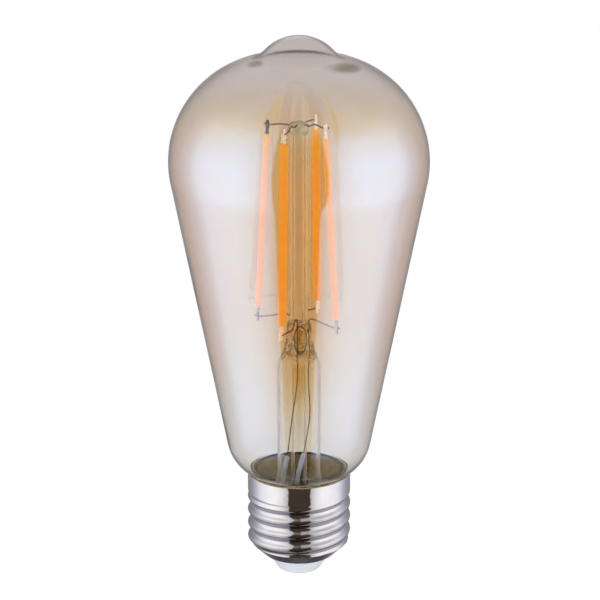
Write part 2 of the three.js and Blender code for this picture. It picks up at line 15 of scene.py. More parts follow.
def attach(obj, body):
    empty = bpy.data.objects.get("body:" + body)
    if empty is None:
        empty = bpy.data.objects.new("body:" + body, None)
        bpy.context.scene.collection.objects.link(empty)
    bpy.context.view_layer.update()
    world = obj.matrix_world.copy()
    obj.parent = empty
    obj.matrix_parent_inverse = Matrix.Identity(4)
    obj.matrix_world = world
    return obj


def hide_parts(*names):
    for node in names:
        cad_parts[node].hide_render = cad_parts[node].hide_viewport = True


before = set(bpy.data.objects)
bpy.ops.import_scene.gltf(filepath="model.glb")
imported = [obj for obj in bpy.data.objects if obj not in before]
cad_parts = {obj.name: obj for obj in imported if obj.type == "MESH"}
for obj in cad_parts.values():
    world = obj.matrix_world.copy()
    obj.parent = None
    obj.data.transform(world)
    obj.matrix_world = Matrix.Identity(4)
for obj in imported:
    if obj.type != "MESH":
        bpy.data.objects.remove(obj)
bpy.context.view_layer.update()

scene = bpy.context.scene
MM = 0.001

# ---- dimensions shared with the CAD; R is a radius, Z a height above the contact ----
LAMP_LENGTH = 139.5
ENVELOPE_R = 32
GLASS_WALL = 0.6
DOME_R = 26.1
DOME_Z = 108.3
CONE_DEG = 11.1
SHOULDER_R = 10.7
SHOULDER_Z = 35
NUB_R = 11.6
NUB_FILLET = 6.5
NECK_R = 11.7
NECK_TOP_Z = 26.9
NECK_END_R = 10.7
NECK_END_Z = 17.6

THREAD_PITCH = 25.4 / 7
THREAD_MAJOR = 13.1
THREAD_MINOR = 12.1
THREAD_CREST_Z = 9.6
THREAD_TOP_Z = 21.6
COLLAR_R = 13.05
CAP_RIM_Z = 27.3
CAP_WALL = 0.4
TAPER_TOP_Z = 8.4
TAPER_R = 12.45
CAP_LIP_R = 8.2
CAP_LIP_Z = 5.1

STEM_R = 5.45
STEM_WALL = 0.6
STEM_TOP_Z = 59.1
STEM_SHOULDER_Z = 56.6
PRESS_BOTTOM_Z = 59.2
PRESS_TOP_Z = 67.3
PRESS_BOTTOM_R = 4.2
PRESS_TOP_R = 3.25
EXHAUST_R = 2
EXHAUST_BORE = 1.35
EXHAUST_TIP_Z = 15.2
COLUMN_R = 2.25
COLUMN_BORE = 1.3
BUTTON_BOTTOM_Z = 115.4
BUTTON_TOP_Z = 118.3

FILAMENT_TOP_Z = 114.5
FILAMENT_FOOT_Z = 69.5
# Radius and bearing of each strip's top end, then of its foot.
FILAMENTS = [
    (8.8, 61, 11.3, 66), (8.4, 159, 11.3, 156), (8.4, 245, 11.3, 248.5), (7, 339, 10.8, 327.5),
]
FILAMENT_WIDTH = 2.1
FILAMENT_THICKNESS = 1.3
TERMINAL_WIDTH = 0.95
TERMINAL_THICKNESS = 0.25
TERMINAL_LENGTH = 3.5
TOP_CROSSING = 2.7
FOOT_CROSSING = 2.1
WIRE_PAST_TERMINAL = 0.8

WIRE_R = 0.25
THIN_WIRE_R = 0.15
WIRE_RING = 2.76
PRESS_WIRE_DEG = [62, 139, 262, 328]
TOP_WIRE_Z = 117.3
TOP_ARCH = [0.1, 0.1, 0.7, 0.6]
SLEEVE_R = 0.6
BOARD_BOTTOM_Z = 12.6
BOARD_TOP_Z = 13.6
GAP = 0.1
# The drawn envelope's outside lies this far inside the CAD's, to stay in its box.
SKIN_DEPTH = 0.02


# ---- node helpers ----
class Tree:
    """A node tree with short ways to add and join nodes."""

    def __init__(self, owner):
        owner.use_nodes = True
        self.tree = owner.node_tree
        self.tree.nodes.clear()

    def add(self, kind, inputs=None, **settings):
        """Adds a ShaderNode of the kind, with values or links for its inputs."""
        node = self.tree.nodes.new("ShaderNode" + kind)
        for key, value in settings.items():
            setattr(node, key, value)
        for key, value in (inputs or {}).items():
            self.feed(node.inputs[key], value)
        return node

    def feed(self, socket, value):
        if isinstance(value, bpy.types.NodeSocket):
            self.tree.links.new(value, socket)
        elif hasattr(value, "__len__") and len(value) == 3 and socket.type == "RGBA":
            socket.default_value = (*value, 1)
        else:
            socket.default_value = value

    def math(self, operation, *values):
        return self.add("Math", dict(enumerate(values)), operation=operation).outputs[0]

    def smoothstep(self, value, low, high, start=0.0, end=1.0):
        inputs = {0: value, 1: low, 2: high, 3: start, 4: end}
        return self.add("MapRange", inputs, interpolation_type="SMOOTHSTEP").outputs[0]

    def spread(self, value, low, high):
        """Maps a noise's middle range onto low to high."""
        inputs = {0: value, 1: 0.3, 2: 0.7, 3: low, 4: high}
        return self.add("MapRange", inputs).outputs[0]

    def product(self, first, *others):
        for other in others:
            first = self.math("MULTIPLY", first, other)
        return first

    def vector(self, operation, *values):
        """A vector operation; LENGTH gives a number."""
        node = self.add("VectorMath", dict(enumerate(values)), operation=operation)
        return node.outputs["Value" if operation == "LENGTH" else "Vector"]

    def ramp(self, value, stops):
        node = self.add("ValToRGB", {0: value})
        elements = node.color_ramp.elements
        while len(elements) < len(stops):
            elements.new(0.5)
        for element, (position, colour) in zip(elements, stops):
            element.position = position
            element.color = (*colour, 1)
        return node.outputs[0]

    def mix(self, share, first, second, blend="MIX"):
        node = self.add("Mix", data_type="RGBA", blend_type=blend)
        self.feed(node.inputs["Factor"], share)
        self.feed(node.inputs["A"], first)
        self.feed(node.inputs["B"], second)
        return node.outputs["Result"]

    def place(self, stretch=(1, 1, 1)):
        """Object coordinates in metres, scaled along each axis."""
        coord = self.add("TexCoord").outputs["Object"]
        if stretch == (1, 1, 1):
            return coord
        return self.add("Mapping", {"Vector": coord, "Scale": stretch}).outputs[0]

    def noise(self, size, detail, stretch=(1, 1, 1)):
        """Noise with features of about the given size in millimetres."""
        inputs = {"Vector": self.place(stretch), "Scale": 1 / (size * MM), "Detail": detail}
        return self.add("TexNoise", inputs).outputs[0]

    def mottle(self, size, detail, bright, dull):
        """Two colours in soft patches of about the given size."""
        return self.mix(self.spread(self.noise(size, detail), 0, 1), bright, dull)

    def cells(self, size, feature="F1"):
        inputs = {"Vector": self.place(), "Scale": 1 / (size * MM)}
        return self.add("TexVoronoi", inputs, feature=feature).outputs["Distance"]

    def height(self):
        """Height above the lamp's contact, in millimetres."""
        axes = self.add("SeparateXYZ", {0: self.place()})
        return self.math("MULTIPLY", axes.outputs["Z"], 1 / MM)

    def blob(self, centre, size):
        """1 inside an ellipsoid, given in millimetres, fading to 0 at its skin."""
        away = self.vector("SUBTRACT", self.place(), [c * MM for c in centre])
        away = self.vector("MULTIPLY", away, [1 / (r * MM) for r in size])
        return self.smoothstep(self.vector("LENGTH", away), 1.0, 0.3)

    def blobs(self, pair):
        """The stronger of two blobs."""
        return self.math("MAXIMUM", *(self.blob(*b) for b in pair))

    def facing(self):
        """0 where the surface is seen face on, 1 where it is seen edge on."""
        return self.add("LayerWeight", {"Blend": 0.5}).outputs["Facing"]

    def bump(self, height, depth, normal=None):
        """A bump whose full height is depth millimetres."""
        inputs = {"Height": height, "Distance": depth * MM, "Strength": 1.0}
        if normal is not None:
            inputs["Normal"] = normal
        return self.add("Bump", inputs).outputs[0]


MATERIALS = {}


class Surface(Tree):
    """A Principled material, kept in MATERIALS."""

    def __init__(self, name, **sockets):
        self.material = MATERIALS[name] = bpy.data.materials.new(name)
        super().__init__(self.material)
        self.shader = self.add("BsdfPrincipled")
        self.add("OutputMaterial", {"Surface": self.shader.outputs[0]})
        self.set(**sockets)

    def relief(self, size, detail, depth, stretch=(1, 1, 1)):
        self.set(normal=self.bump(self.noise(size, detail, stretch), depth))

    def set(self, **sockets):
        for key, value in sockets.items():
            socket = key.replace("_", " ").title().replace("Ior", "IOR")
            self.feed(self.shader.inputs[socket], value)


# ---- materials ----
# Heights between which the amber glass changes: the film comes in above the neck, the amber
# pales and the film's blue goes out towards the top, the sheen of bare glass turns bluish,
# and, going down, the wall gets darker where it is seen aslant.
FILM_IN = (34, 70)
AMBER_PALES = (108, 127)
BLUE_OUT = (112, 126)
SHEEN_TURNS_BLUE = (35, 41)
ASLANT_DARKENS = (124, 110)
# Middle and half sizes of the marks in the glass. The bubble crowds get painted dark bubble edges
# and painted glints, and the flattened bore gets a painted dark edge.
SMUDGES = [((11.7, -7, 133.0), (9.5, 6, 1.0)), ((-10.9, -5.5, 133.8), (3.6, 4, 0.8))]
BUBBLE_CROWDS = [((-2.6, 0, 61), (3.2, 6, 2.9)), ((3.0, 0, 60), (2.2, 6, 1.8))]
FLATTENED_BORE = ((0.35, 0, 63.4), (1.9, 12, 4.3))
FROTH_IN = (56.0, 58.5)
# Near its seal the pump-out tube is brown between these heights.
BROWN_IN = (40, 54)
BROWN_OUT = (56.2, 55.4)
# The painted shade on the thread's crests ends below the collar.
CREST_SHADE_OUT = (20.6, 19.8)


def amber_glass():
    """Amber glass under a metal-oxide film that reflects blue and thins out at neck and top."""
    s = Surface("amber_glass", transmission_weight=1.0, ior=2.9, roughness=0.0)
    z = s.height()
    film = s.math("ADD", s.smoothstep(z, *FILM_IN), s.spread(s.noise(26, 2), -0.02, 0.02))
    amber = s.mix(s.smoothstep(z, *AMBER_PALES), (0.788, 0.657, 0.487), (0.71, 0.665, 0.645))
    amber = s.mix(s.blobs(SMUDGES), amber, (0.24, 0.195, 0.105))
    body = s.mix(film, (0.80, 0.785, 0.765), amber)
    # Seen aslant, the wall is thicker to look through.
    facing = s.facing()
    aslant = s.product(s.smoothstep(facing, 0.24, 0.55), s.smoothstep(facing, 0.98, 0.85))
    aslant = s.product(aslant, s.smoothstep(z, *ASLANT_DARKENS))
    shade = s.mix(aslant, (1, 1, 1), (0.86, 0.87, 0.85))
    s.set(base_color=s.mix(1.0, body, shade, "MULTIPLY"))
    bare = s.mix(s.smoothstep(z, *SHEEN_TURNS_BLUE), (0.15, 0.13, 0.10), (0.15, 0.22, 0.50))
    blue = s.mix(s.smoothstep(z, *BLUE_OUT), (0.222, 0.537, 1.0), (0.15, 0.16, 0.18))
    s.set(specular_tint=s.mix(film, bare, blue))
    s.relief(14, 1, 0.03)


def tube_glass(name, ior, painted_edge_highlight, ripple, depth):
    """Drawn tube, with a painted pale highlight where the wall is seen edge on."""
    s = Surface(name, ior=ior, roughness=0.0)
    # Seen edge on, less goes through and the pale base colour shows: a painted highlight.
    s.set(transmission_weight=s.smoothstep(s.facing(), 0.3, 0.8, 1.0, 1.0 - painted_edge_highlight))
    s.relief(ripple, 2, depth, (1, 1, 0.35))
    return s


def tube_glasses():
    """Glass of the column, the stem and the pump-out tube, which is browned near its seal."""
    s = tube_glass("clear_glass", 1.2, 0.45, 2.4, 0.03)
    s.set(base_color=s.mottle(3, 2, (0.99, 0.99, 0.985), (0.95, 0.96, 0.945)))
    s = tube_glass("stem_glass", 1.14, 0.28, 3, 0.02)
    s.set(base_color=s.mottle(4, 2, (0.985, 0.985, 0.975), (0.96, 0.965, 0.95)))
    s = tube_glass("exhaust_glass", 1.2, 0.45, 2.4, 0.03)
    z = s.height()
    browned = s.product(s.smoothstep(z, *BROWN_IN), s.smoothstep(z, *BROWN_OUT))
    browned = s.product(browned, s.spread(s.noise(2.5, 3), 0.85, 1.1))
    s.set(base_color=s.mix(browned, (0.98, 0.98, 0.97), (0.92, 0.83, 0.58)))


def press_glass():
    """The squeezed end of the stem, full of seed bubbles and folds, with painted dark bubble edges
    and painted glints.
    """
    s = Surface("press_glass", transmission_weight=1.0, ior=1.3, roughness=0.0)
    froth = s.smoothstep(s.height(), *FROTH_IN)
    golden = s.mottle(1.1, 3, (1.0, 0.99, 0.95), (0.92, 0.86, 0.70))
    crowd = s.blobs(BUBBLE_CROWDS)
    # Cell edges in the bubble crowds are painted dark: a painted shade standing in for the
    # bubbles' edges.
    painted_bubble_edges = s.smoothstep(s.cells(1.05, "DISTANCE_TO_EDGE"), 0.11, 0.05)
    painted_bubble_edges = s.product(painted_bubble_edges, s.math("MULTIPLY_ADD", crowd, 0.85, 0.15))
    golden = s.mix(painted_bubble_edges, golden, (0.05, 0.025, 0.01))
    bore = s.blob(*FLATTENED_BORE)
    # A ring round the flattened bore is painted dark brown: a painted shade for its edge.
    rim = s.product(s.smoothstep(bore, 0.02, 0.08), s.smoothstep(bore, 0.3, 0.16))
    golden = s.mix(s.smoothstep(bore, 0.3, 0.6), golden, (0.86, 0.74, 0.36))
    golden = s.mix(rim, golden, (0.10, 0.055, 0.02))
    s.set(base_color=s.mix(froth, (0.985, 0.985, 0.975), golden))
    # Small spots in the bubble crowds glow: painted glints.
    painted_glints = s.product(crowd, s.smoothstep(s.cells(0.8), 0.26, 0.12), 0.75)
    s.set(emission_color=(1.0, 0.97, 0.9), emission_strength=painted_glints)
    folds, seeds = s.product(froth, s.noise(1.3, 2)), s.product(froth, s.cells(0.8))
    s.set(normal=s.bump(folds, 0.3, s.bump(seeds, 0.22)))


def button_glass():
    """The bead round the top wires, green from the glass it was gathered with."""
    s = Surface("button_glass", transmission_weight=1.0, ior=1.5, roughness=0.02)
    s.set(base_color=s.mottle(1.2, 3, (0.93, 1.0, 0.90), (0.70, 0.80, 0.64)))
    s.set(normal=s.bump(s.noise(0.9, 3), 0.12, s.bump(s.cells(0.55), 0.06)))


def nickel_plate():
    """Rolled, plated brass with faint drawing lines, haze and rougher crests, and painted shade:
    darker crests, and a darker, bluish plate where it is seen edge on.
    """
    s = Surface("nickel_plate", metallic=1.0)
    haze, lines = s.noise(3.5, 4), s.noise(0.35, 2, (0.12, 0.12, 1))
    radius = s.vector("LENGTH", s.vector("MULTIPLY", s.place(), (1, 1, 0)))
    crest = s.smoothstep(radius, (THREAD_MAJOR - 0.2) * MM, (THREAD_MAJOR - 0.03) * MM)
    # The thread's crests are painted darker, a painted shade, and made a little rougher.
    painted_crest_shade = s.product(crest, s.smoothstep(s.height(), *CREST_SHADE_OUT), s.spread(haze, 0.6, 1.0))
    plate = s.mix(s.spread(haze, 0, 1), (0.43, 0.42, 0.42), (0.385, 0.375, 0.38))
    # Seen edge on, the plate is painted darker and bluish: a painted shade.
    plate = s.mix(s.smoothstep(s.facing(), 0.1, 0.6), plate, (0.315, 0.315, 0.35))
    s.set(base_color=s.mix(painted_crest_shade, plate, (0.21, 0.205, 0.215)))
    polish = s.math("ADD", s.spread(haze, 0.03, 0.06), s.spread(lines, -0.01, 0.01))
    s.set(roughness=s.math("MULTIPLY_ADD", painted_crest_shade, 0.05, polish))
    s.set(normal=s.bump(s.noise(2.2, 2), 0.035, s.bump(lines, 0.002)))


def phosphor(name, green):
    """Silicone loaded with phosphor grains, in blotches of two strengths, with a faint painted
    glow.
    """
    s = Surface(name, specular_ior_level=0.35)
    grain, blotch = s.noise(0.16, 3), s.noise(1.6, 3)
    warm = s.mix(s.spread(blotch, 0, 1), (0.98, green, 0.03), (0.95, green - 0.08, 0.02))
    s.set(base_color=s.mix(s.spread(grain, 0, 0.35), warm, (1.0, 0.58, 0.08)))
    s.set(roughness=s.spread(grain, 0.35, 0.55))
    # A faint orange emission is a painted glow that brightens the coating.
    s.set(emission_color=(1.0, 0.45, 0.02), emission_strength=0.2)
    s.set(normal=s.bump(grain, 0.012, s.bump(blotch, 0.05)))


def opaque(name, colours, patch, rough, relief, **sockets):
    """Colours in patches, roughness as (size, low, high) and relief as (size, detail, depth)."""
    s = Surface(name, **sockets)
    s.set(base_color=s.mottle(patch, 4, *colours))
    s.set(roughness=s.spread(s.noise(rough[0], 3), *rough[1:]))
    s.relief(*relief)


def metal(name, bright, dull, rough):
    """Drawn or stamped metal with uneven tarnish."""
    spread = (0.3, rough * 0.7, rough * 1.3)
    opaque(name, (bright, dull), 0.6, spread, (0.24, 2, 0.01), metallic=1.0)


def plain(name, bright, dull, rough, size, **sockets):
    """Painted, moulded or sleeved stuff with mottled colour and a fine relief."""
    spread = (size * 0.6, rough * 0.8, rough * 1.2)
    opaque(name, (bright, dull), size, spread, (size * 0.3, 3, 0.01), **sockets)


amber_glass()
tube_glasses()
press_glass()
button_glass()
nickel_plate()
phosphor("phosphor", 0.55)
# The paler, yellower copy of the coating is a painted sheen that washes it out.
phosphor("phosphor_painted_sheen", 0.67)

OPAL = {"specular_ior_level": 0.6, "subsurface_weight": 0.25, "subsurface_scale": 1.0}
OPAL["subsurface_radius"] = (0.8 * MM, 0.9 * MM, 1.0 * MM)
OPAL_COLOURS = (0.70, 0.745, 0.80), (0.66, 0.70, 0.76)
opaque("white_insulator", OPAL_COLOURS, 2.5, (1.1, 0.28, 0.36), (0.7, 3, 0.004), **OPAL)
TIN_COLOURS = (0.66, 0.65, 0.62), (0.48, 0.46, 0.43)
opaque("contact_tin", TIN_COLOURS, 1.4, (0.5, 0.18, 0.42), (0.35, 3, 0.02), metallic=1.0)
CEMENT_COLOURS = (0.60, 0.47, 0.19), (0.36, 0.27, 0.10)
opaque("cement", CEMENT_COLOURS, 1.8, (0.5, 0.6, 0.9), (0.3, 4, 0.06), specular_ior_level=0.3)

metal("terminal_metal", (0.80, 0.74, 0.58), (0.52, 0.47, 0.36), 0.3)
metal("dull_metal", (0.66, 0.63, 0.60), (0.46, 0.43, 0.41), 0.35)
metal("burnt_metal", (0.16, 0.14, 0.13), (0.08, 0.07, 0.065), 0.4)
metal("solder", (0.80, 0.79, 0.76), (0.55, 0.54, 0.51), 0.22)
metal("support_nickel", (0.52, 0.44, 0.38), (0.26, 0.21, 0.17), 0.35)
metal("scorched_nickel", (0.42, 0.20, 0.09), (0.20, 0.09, 0.04), 0.35)
metal("copper", (0.34, 0.20, 0.13), (0.15, 0.09, 0.06), 0.35)
metal("can_aluminium", (0.72, 0.73, 0.75), (0.58, 0.59, 0.61), 0.35)

# The weld beads glow faintly: a painted glint.
PAINTED_GLINT = {"emission_color": (1.0, 0.96, 0.88), "emission_strength": 0.42}
plain("weld_bead", (0.98, 0.96, 0.90), (0.40, 0.30, 0.18), 0.2, 0.45, **PAINTED_GLINT)
CLOUDY = {"transmission_weight": 0.4, "ior": 1.3}
plain("white_sleeve", (0.74, 0.83, 1.0), (0.56, 0.66, 0.90), 0.35, 0.8, **CLOUDY)
plain("board_brown", (0.09, 0.068, 0.02), (0.045, 0.034, 0.010), 0.6, 1.2)
plain("black_epoxy", (0.02, 0.02, 0.022), (0.010, 0.010, 0.012), 0.5, 0.6)
plain("coil_tape", (0.035, 0.09, 0.06), (0.02, 0.055, 0.04), 0.45, 1.0)
plain("resistor_body", (0.36, 0.46, 0.40), (0.26, 0.35, 0.30), 0.45, 0.8)
plain("ceramic", (0.72, 0.68, 0.58), (0.58, 0.54, 0.45), 0.5, 0.7)
plain("tan_film", (0.34, 0.20, 0.05), (0.24, 0.13, 0.03), 0.35, 2.0)


# ---- mesh helpers ----
SHARP_DEG = 40


def finish_piece(name, mesh, slot, nodes, material=None):
    """Makes the object, smooths all but its sharp edges, and fixes it to the frame."""
    mesh.materials.append(MATERIALS[material or slot])
    mesh.shade_smooth()
    mesh.set_sharp_from_angle(angle=radians(SHARP_DEG))
    piece = bpy.data.objects.new(name, mesh)
    scene.collection.objects.link(piece)
    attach(piece, "root")
    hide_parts(*nodes)
    return piece


def to_mesh(name, bm):
    """Welds, turns the normals outward and scales to metres."""
    bmesh.ops.remove_doubles(bm, verts=bm.verts, dist=1e-4)
    bmesh.ops.dissolve_degenerate(bm, edges=bm.edges, dist=1e-5)
    bmesh.ops.recalc_face_normals(bm, faces=bm.faces)
    bmesh.ops.scale(bm, vec=(MM, MM, MM), verts=bm.verts)
    mesh = bpy.data.meshes.new(name)
    bm.to_mesh(mesh)
    bm.free()
    return mesh


def add_rings(bm, rings, closed, caps):
    """Skins rings of the same number of points; closed joins the last ring to the first."""
    made = [[bm.verts.new(p) for p in ring] for ring in rings]
    count = len(made[0])
    pairs = list(zip(made, made[1:])) + ([(made[-1], made[0])] if closed else [])
    for lower, upper in pairs:
        for i in range(count):
            j = (i + 1) % count
            bm.faces.new((lower[i], lower[j], upper[j], upper[i]))
    if caps:
        bm.faces.new(list(reversed(made[0])))
        bm.faces.new(made[-1])


def add_turned(bm, outline, segments, shape=None, centre=(0, 0)):
    """Turns (radius, z) points. shape may change a point: (angle, r, z) -> (r, z)."""
    on_axis = outline[0][0] < 1e-6
    rings = []
    for radius, z in outline:
        ring = []
        for i in range(segments):
            angle = 2 * pi * i / segments
            r, h = shape(angle, radius, z) if shape else (radius, z)
            ring.append((centre[0] + r * cos(angle), centre[1] + r * sin(angle), h))
        rings.append(ring)
    add_rings(bm, rings, closed=not on_axis, caps=False)


def turned_piece(name, node, slot, outline, segments, shape=None, material=None, centre=(0, 0)):
    bm = bmesh.new()
    add_turned(bm, outline, segments, shape, centre)
    return finish_piece(name, to_mesh(node, bm), slot, [node], material)


def arc(centre, radius, start, end, steps):
    """Points of an arc, angles in degrees."""
    turn = [radians(start + (end - start) * i / steps) for i in range(steps + 1)]
    return [(centre[0] + radius * cos(a), centre[1] + radius * sin(a)) for a in turn]


def bezier(a, b, c, d, steps):
    points = []
    for i in range(steps + 1):
        t = i / steps
        weights = ((1 - t) ** 3, 3 * t * (1 - t) ** 2, 3 * t * t * (1 - t), t**3)
        points.append(tuple(sum(w * p[k] for w, p in zip(weights, (a, b, c, d))) for k in (0, 1)))
    return points


def rounded(points, radius, steps=4):
    """The outline with its corners rounded; the radius gives way on short sides."""
    result = [points[0]]
    for before, corner, after in zip(points, points[1:], points[2:]):
        c = Vector(corner)
        to_a, to_b = Vector(before) - c, Vector(after) - c
        reach = min(radius, to_a.length * 0.45, to_b.length * 0.45)
        start, end = c + to_a.normalized() * reach, c + to_b.normalized() * reach
        for i in range(steps + 1):
            t = i / steps
            result.append(tuple(start * (1 - t) ** 2 + c * 2 * t * (1 - t) + end * t * t))
    result.append(points[-1])
    return result


def divided(points, longest):
    """The outline with long sides divided, so that a shape function can bend them."""
    result = [points[0]]
    for a, b in zip(points, points[1:]):
        count = max(1, ceil(hypot(b[0] - a[0], b[1] - a[1]) / longest))
        for i in range(1, count + 1):
            result.append((a[0] + (b[0] - a[0]) * i / count, a[1] + (b[1] - a[1]) * i / count))
    return result


def smooth_path(points, steps):
    """Centripetal Catmull-Rom through the points, as the CAD's rods use."""
    pts = [Vector(p) for p in points]
    pts = [pts[0] * 2 - pts[1], *pts, pts[-1] * 2 - pts[-2]]
    path = []
    for p0, p1, p2, p3 in zip(pts, pts[1:], pts[2:], pts[3:]):
        d0, d1, d2 = (sqrt((b - a).length) for a, b in ((p0, p1), (p1, p2), (p2, p3)))
        t1 = ((p1 - p0) / d0 - (p2 - p0) / (d0 + d1) + (p2 - p1) / d1) * d1
        t2 = ((p2 - p1) / d1 - (p3 - p1) / (d1 + d2) + (p3 - p2) / d2) * d1
        for i in range(steps):
            t = i / steps
            a, b = 2 * t**3 - 3 * t * t + 1, t**3 - 2 * t * t + t
            c, d = -2 * t**3 + 3 * t * t, t**3 - t * t
            path.append(p1 * a + t1 * b + p2 * c + t2 * d)
    path.append(pts[-2])
    return path


def add_sweep(bm, path, radii, sides):
    """Sweeps a circle along the path, without twist, with a radius for each point."""
    across = (path[1] - path[0]).orthogonal().normalized()
    rings = []
    last = len(path) - 1
    turns = [2 * pi * i / sides for i in range(sides)]
    for i, (point, r) in enumerate(zip(path, radii)):
        ahead = (path[min(i + 1, last)] - path[max(i - 1, 0)]).normalized()
        across = (across - ahead * across.dot(ahead)).normalized()
        up = ahead.cross(across)
        rings.append([point + across * (r * cos(a)) + up * (r * sin(a)) for a in turns])
    add_rings(bm, rings, closed=False, caps=True)


# A rounded wire end: places along it and the radius there, both as shares of the radius.
END_PLACES = [0, 0.12, 0.4, 1]
END_RADII = [0.35, 0.62, 0.9]


def with_ends(path, reach):
    """The path with extra points close to each end, where the ends are rounded off."""
    first, last = (path[1] - path[0]).normalized(), (path[-2] - path[-1]).normalized()
    clear = reach * 1.2
    start = [path[0] + first * reach * n for n in END_PLACES]
    end = [path[-1] + last * reach * n for n in reversed(END_PLACES)]
    ends = path[0], path[-1]
    return start + [p for p in path[1:-1] if all((p - e).length > clear for e in ends)] + end


def wire(name, points, radius, slot, material=None, sides=12, wobble=0.0):
    """A round wire with rounded ends, and an uneven radius where wobble is set."""
    path = with_ends(smooth_path(points, 10), radius)
    scales = [*END_RADII, *[1] * (len(path) - 2 * len(END_RADII)), *reversed(END_RADII)]
    radii = [radius * s * (1 + wobble * noise(p * 0.6)) for p, s in zip(path, scales)]
    bm = bmesh.new()
    add_sweep(bm, path, radii, sides)
    return finish_piece(name + "_drawn", to_mesh(name, bm), slot, [name], material)


def add_box(bm, matrix, size, centre, bevel):
    """A box with rounded edges."""
    place = matrix @ Matrix.Translation(centre) @ Matrix.Diagonal((*size, 1))
    made = bmesh.ops.create_cube(bm, size=1.0, matrix=place)
    edges = {e for v in made["verts"] for e in v.link_edges}
    bmesh.ops.bevel(bm, geom=list(edges), offset=bevel, segments=2, profile=0.5, affect="EDGES")


def add_bead(bm, matrix, centre, size, seed):
    """An uneven round bead; the seed picks its shape."""
    made = bmesh.ops.create_icosphere(bm, subdivisions=3, radius=1.0)
    for v in made["verts"]:
        lump = 1 + 0.18 * noise(v.co * 1.6 + Vector((seed, seed, 0)))
        scaled = Vector((v.co.x * size[0], v.co.y * size[1], v.co.z * size[2]))
        v.co = matrix @ (Vector(centre) + scaled * lump)


def ease(value, low, high):
    t = min(max((value - low) / (high - low), 0), 1)
    return t * t * (3 - 2 * t)


def polar(radius, deg, z):
    return Vector((radius * cos(radians(deg)), radius * sin(radians(deg)), z))


# ---- glass envelope ----
def envelope_outline(depth):
    """From the neck's end up to the top, at a depth below the outer skin."""
    taper = radians(CONE_DEG)
    dome = Vector((ENVELOPE_R - DOME_R, DOME_Z))
    cone_top = dome + DOME_R * Vector((cos(taper), -sin(taper)))
    foot = Vector((cone_top.x - (cone_top.y - SHOULDER_Z) * tan(taper), SHOULDER_Z))
    shoulder = foot + SHOULDER_R * Vector((-cos(taper), sin(taper)))
    nub = Vector((0, LAMP_LENGTH - NUB_R))
    outer, inner = DOME_R + NUB_FILLET, NUB_R + NUB_FILLET
    line = nub - dome
    along = (outer**2 - inner**2 + line.length_squared) / (2 * line.length)
    rise = sqrt(outer**2 - along**2)
    unit = line.normalized()
    fillet = dome + Vector((unit.x * along + abs(unit.y) * rise, unit.y * along - unit.x * rise))
    foot_deg = -degrees(acos((NECK_R + 0.1 - shoulder.x) / SHOULDER_R))

    def heading(a, b):
        return degrees(atan2(b.y - a.y, b.x - a.x))

    neck = divided([(NECK_END_R - depth, NECK_END_Z), (NECK_R - depth, NECK_TOP_Z)], 1.5)
    curve = [
        *arc(shoulder, SHOULDER_R - depth, foot_deg, -CONE_DEG, 16),
        *arc(dome, DOME_R - depth, -CONE_DEG, heading(dome, fillet), 40),
        *arc(fillet, NUB_FILLET + depth, heading(fillet, dome), heading(fillet, nub), 12)[1:],
        *arc(nub, NUB_R - depth, heading(nub, fillet), 90, 14)[1:],
    ]
    return [*neck, *divided(curve, 2.0)]


outline = [*envelope_outline(SKIN_DEPTH), *reversed(envelope_outline(GLASS_WALL))]
turned_piece("envelope_blown", "glass_envelope", "amber_glass", outline, 144)


# ---- glass stem, press, column and button ----
def stem_outline():
    """The stem's outside from the flare up to the press, and its inside back down."""

    def flare(offset):
        return bezier(
            (NECK_END_R - 1.3 - offset * 0.3, NECK_END_Z - GAP - offset),
            (NECK_END_R - 3.2 - offset * 0.6, NECK_END_Z + 1.6 - offset),
            (STEM_R - offset, NECK_END_Z + 4.5), (STEM_R - offset, NECK_END_Z + 11.5),
            20,
        )

    bore, knee, top = STEM_R - STEM_WALL, STEM_SHOULDER_Z, PRESS_TOP_Z
    shoulder = [
        (STEM_R, knee - 3), (STEM_R, knee - 0.8), (STEM_R - 0.7, knee + 1.3),
        (PRESS_BOTTOM_R - 0.1, STEM_TOP_Z + 0.3), (PRESS_BOTTOM_R - 0.35, PRESS_BOTTOM_Z + 1.6),
        (PRESS_TOP_R - 0.05, PRESS_BOTTOM_Z + 4.4), (PRESS_TOP_R - 0.1, top - 1),
        (PRESS_TOP_R - 0.35, top - 0.12), (0, top - 0.12),
    ]
    inside = [
        (0, top - 1.6), (0.9, top - 1.9), (EXHAUST_BORE - 0.05, top - 3.6),
        (EXHAUST_BORE, STEM_TOP_Z + 1.2), (EXHAUST_BORE + 0.1, STEM_TOP_Z + GAP),
        (PRESS_BOTTOM_R - STEM_WALL - 0.5, STEM_TOP_Z - 0.1), (bore - 0.35, knee + 0.5),
        (bore, knee - 1.4), (bore, knee - 4),
    ]
    z, r = NECK_END_Z - GAP, NECK_END_R
    lip = [(r - 0.25, z - STEM_WALL), (r, z - 0.45), (r - 0.25, z)]
    outside = [*lip, *flare(0), *rounded(shoulder, 0.9)]
    inside = [*rounded(inside, 0.9), *reversed(flare(STEM_WALL))]
    return divided(outside, 0.6), divided(inside, 0.6)


def drawn_unevenly(angle, r, z):
    """Hand-drawn tube is never quite round."""
    if r < 0.3:
        return r, z
    return r + 0.04 * noise((2 * cos(angle), 2 * sin(angle), z * 0.12)), z


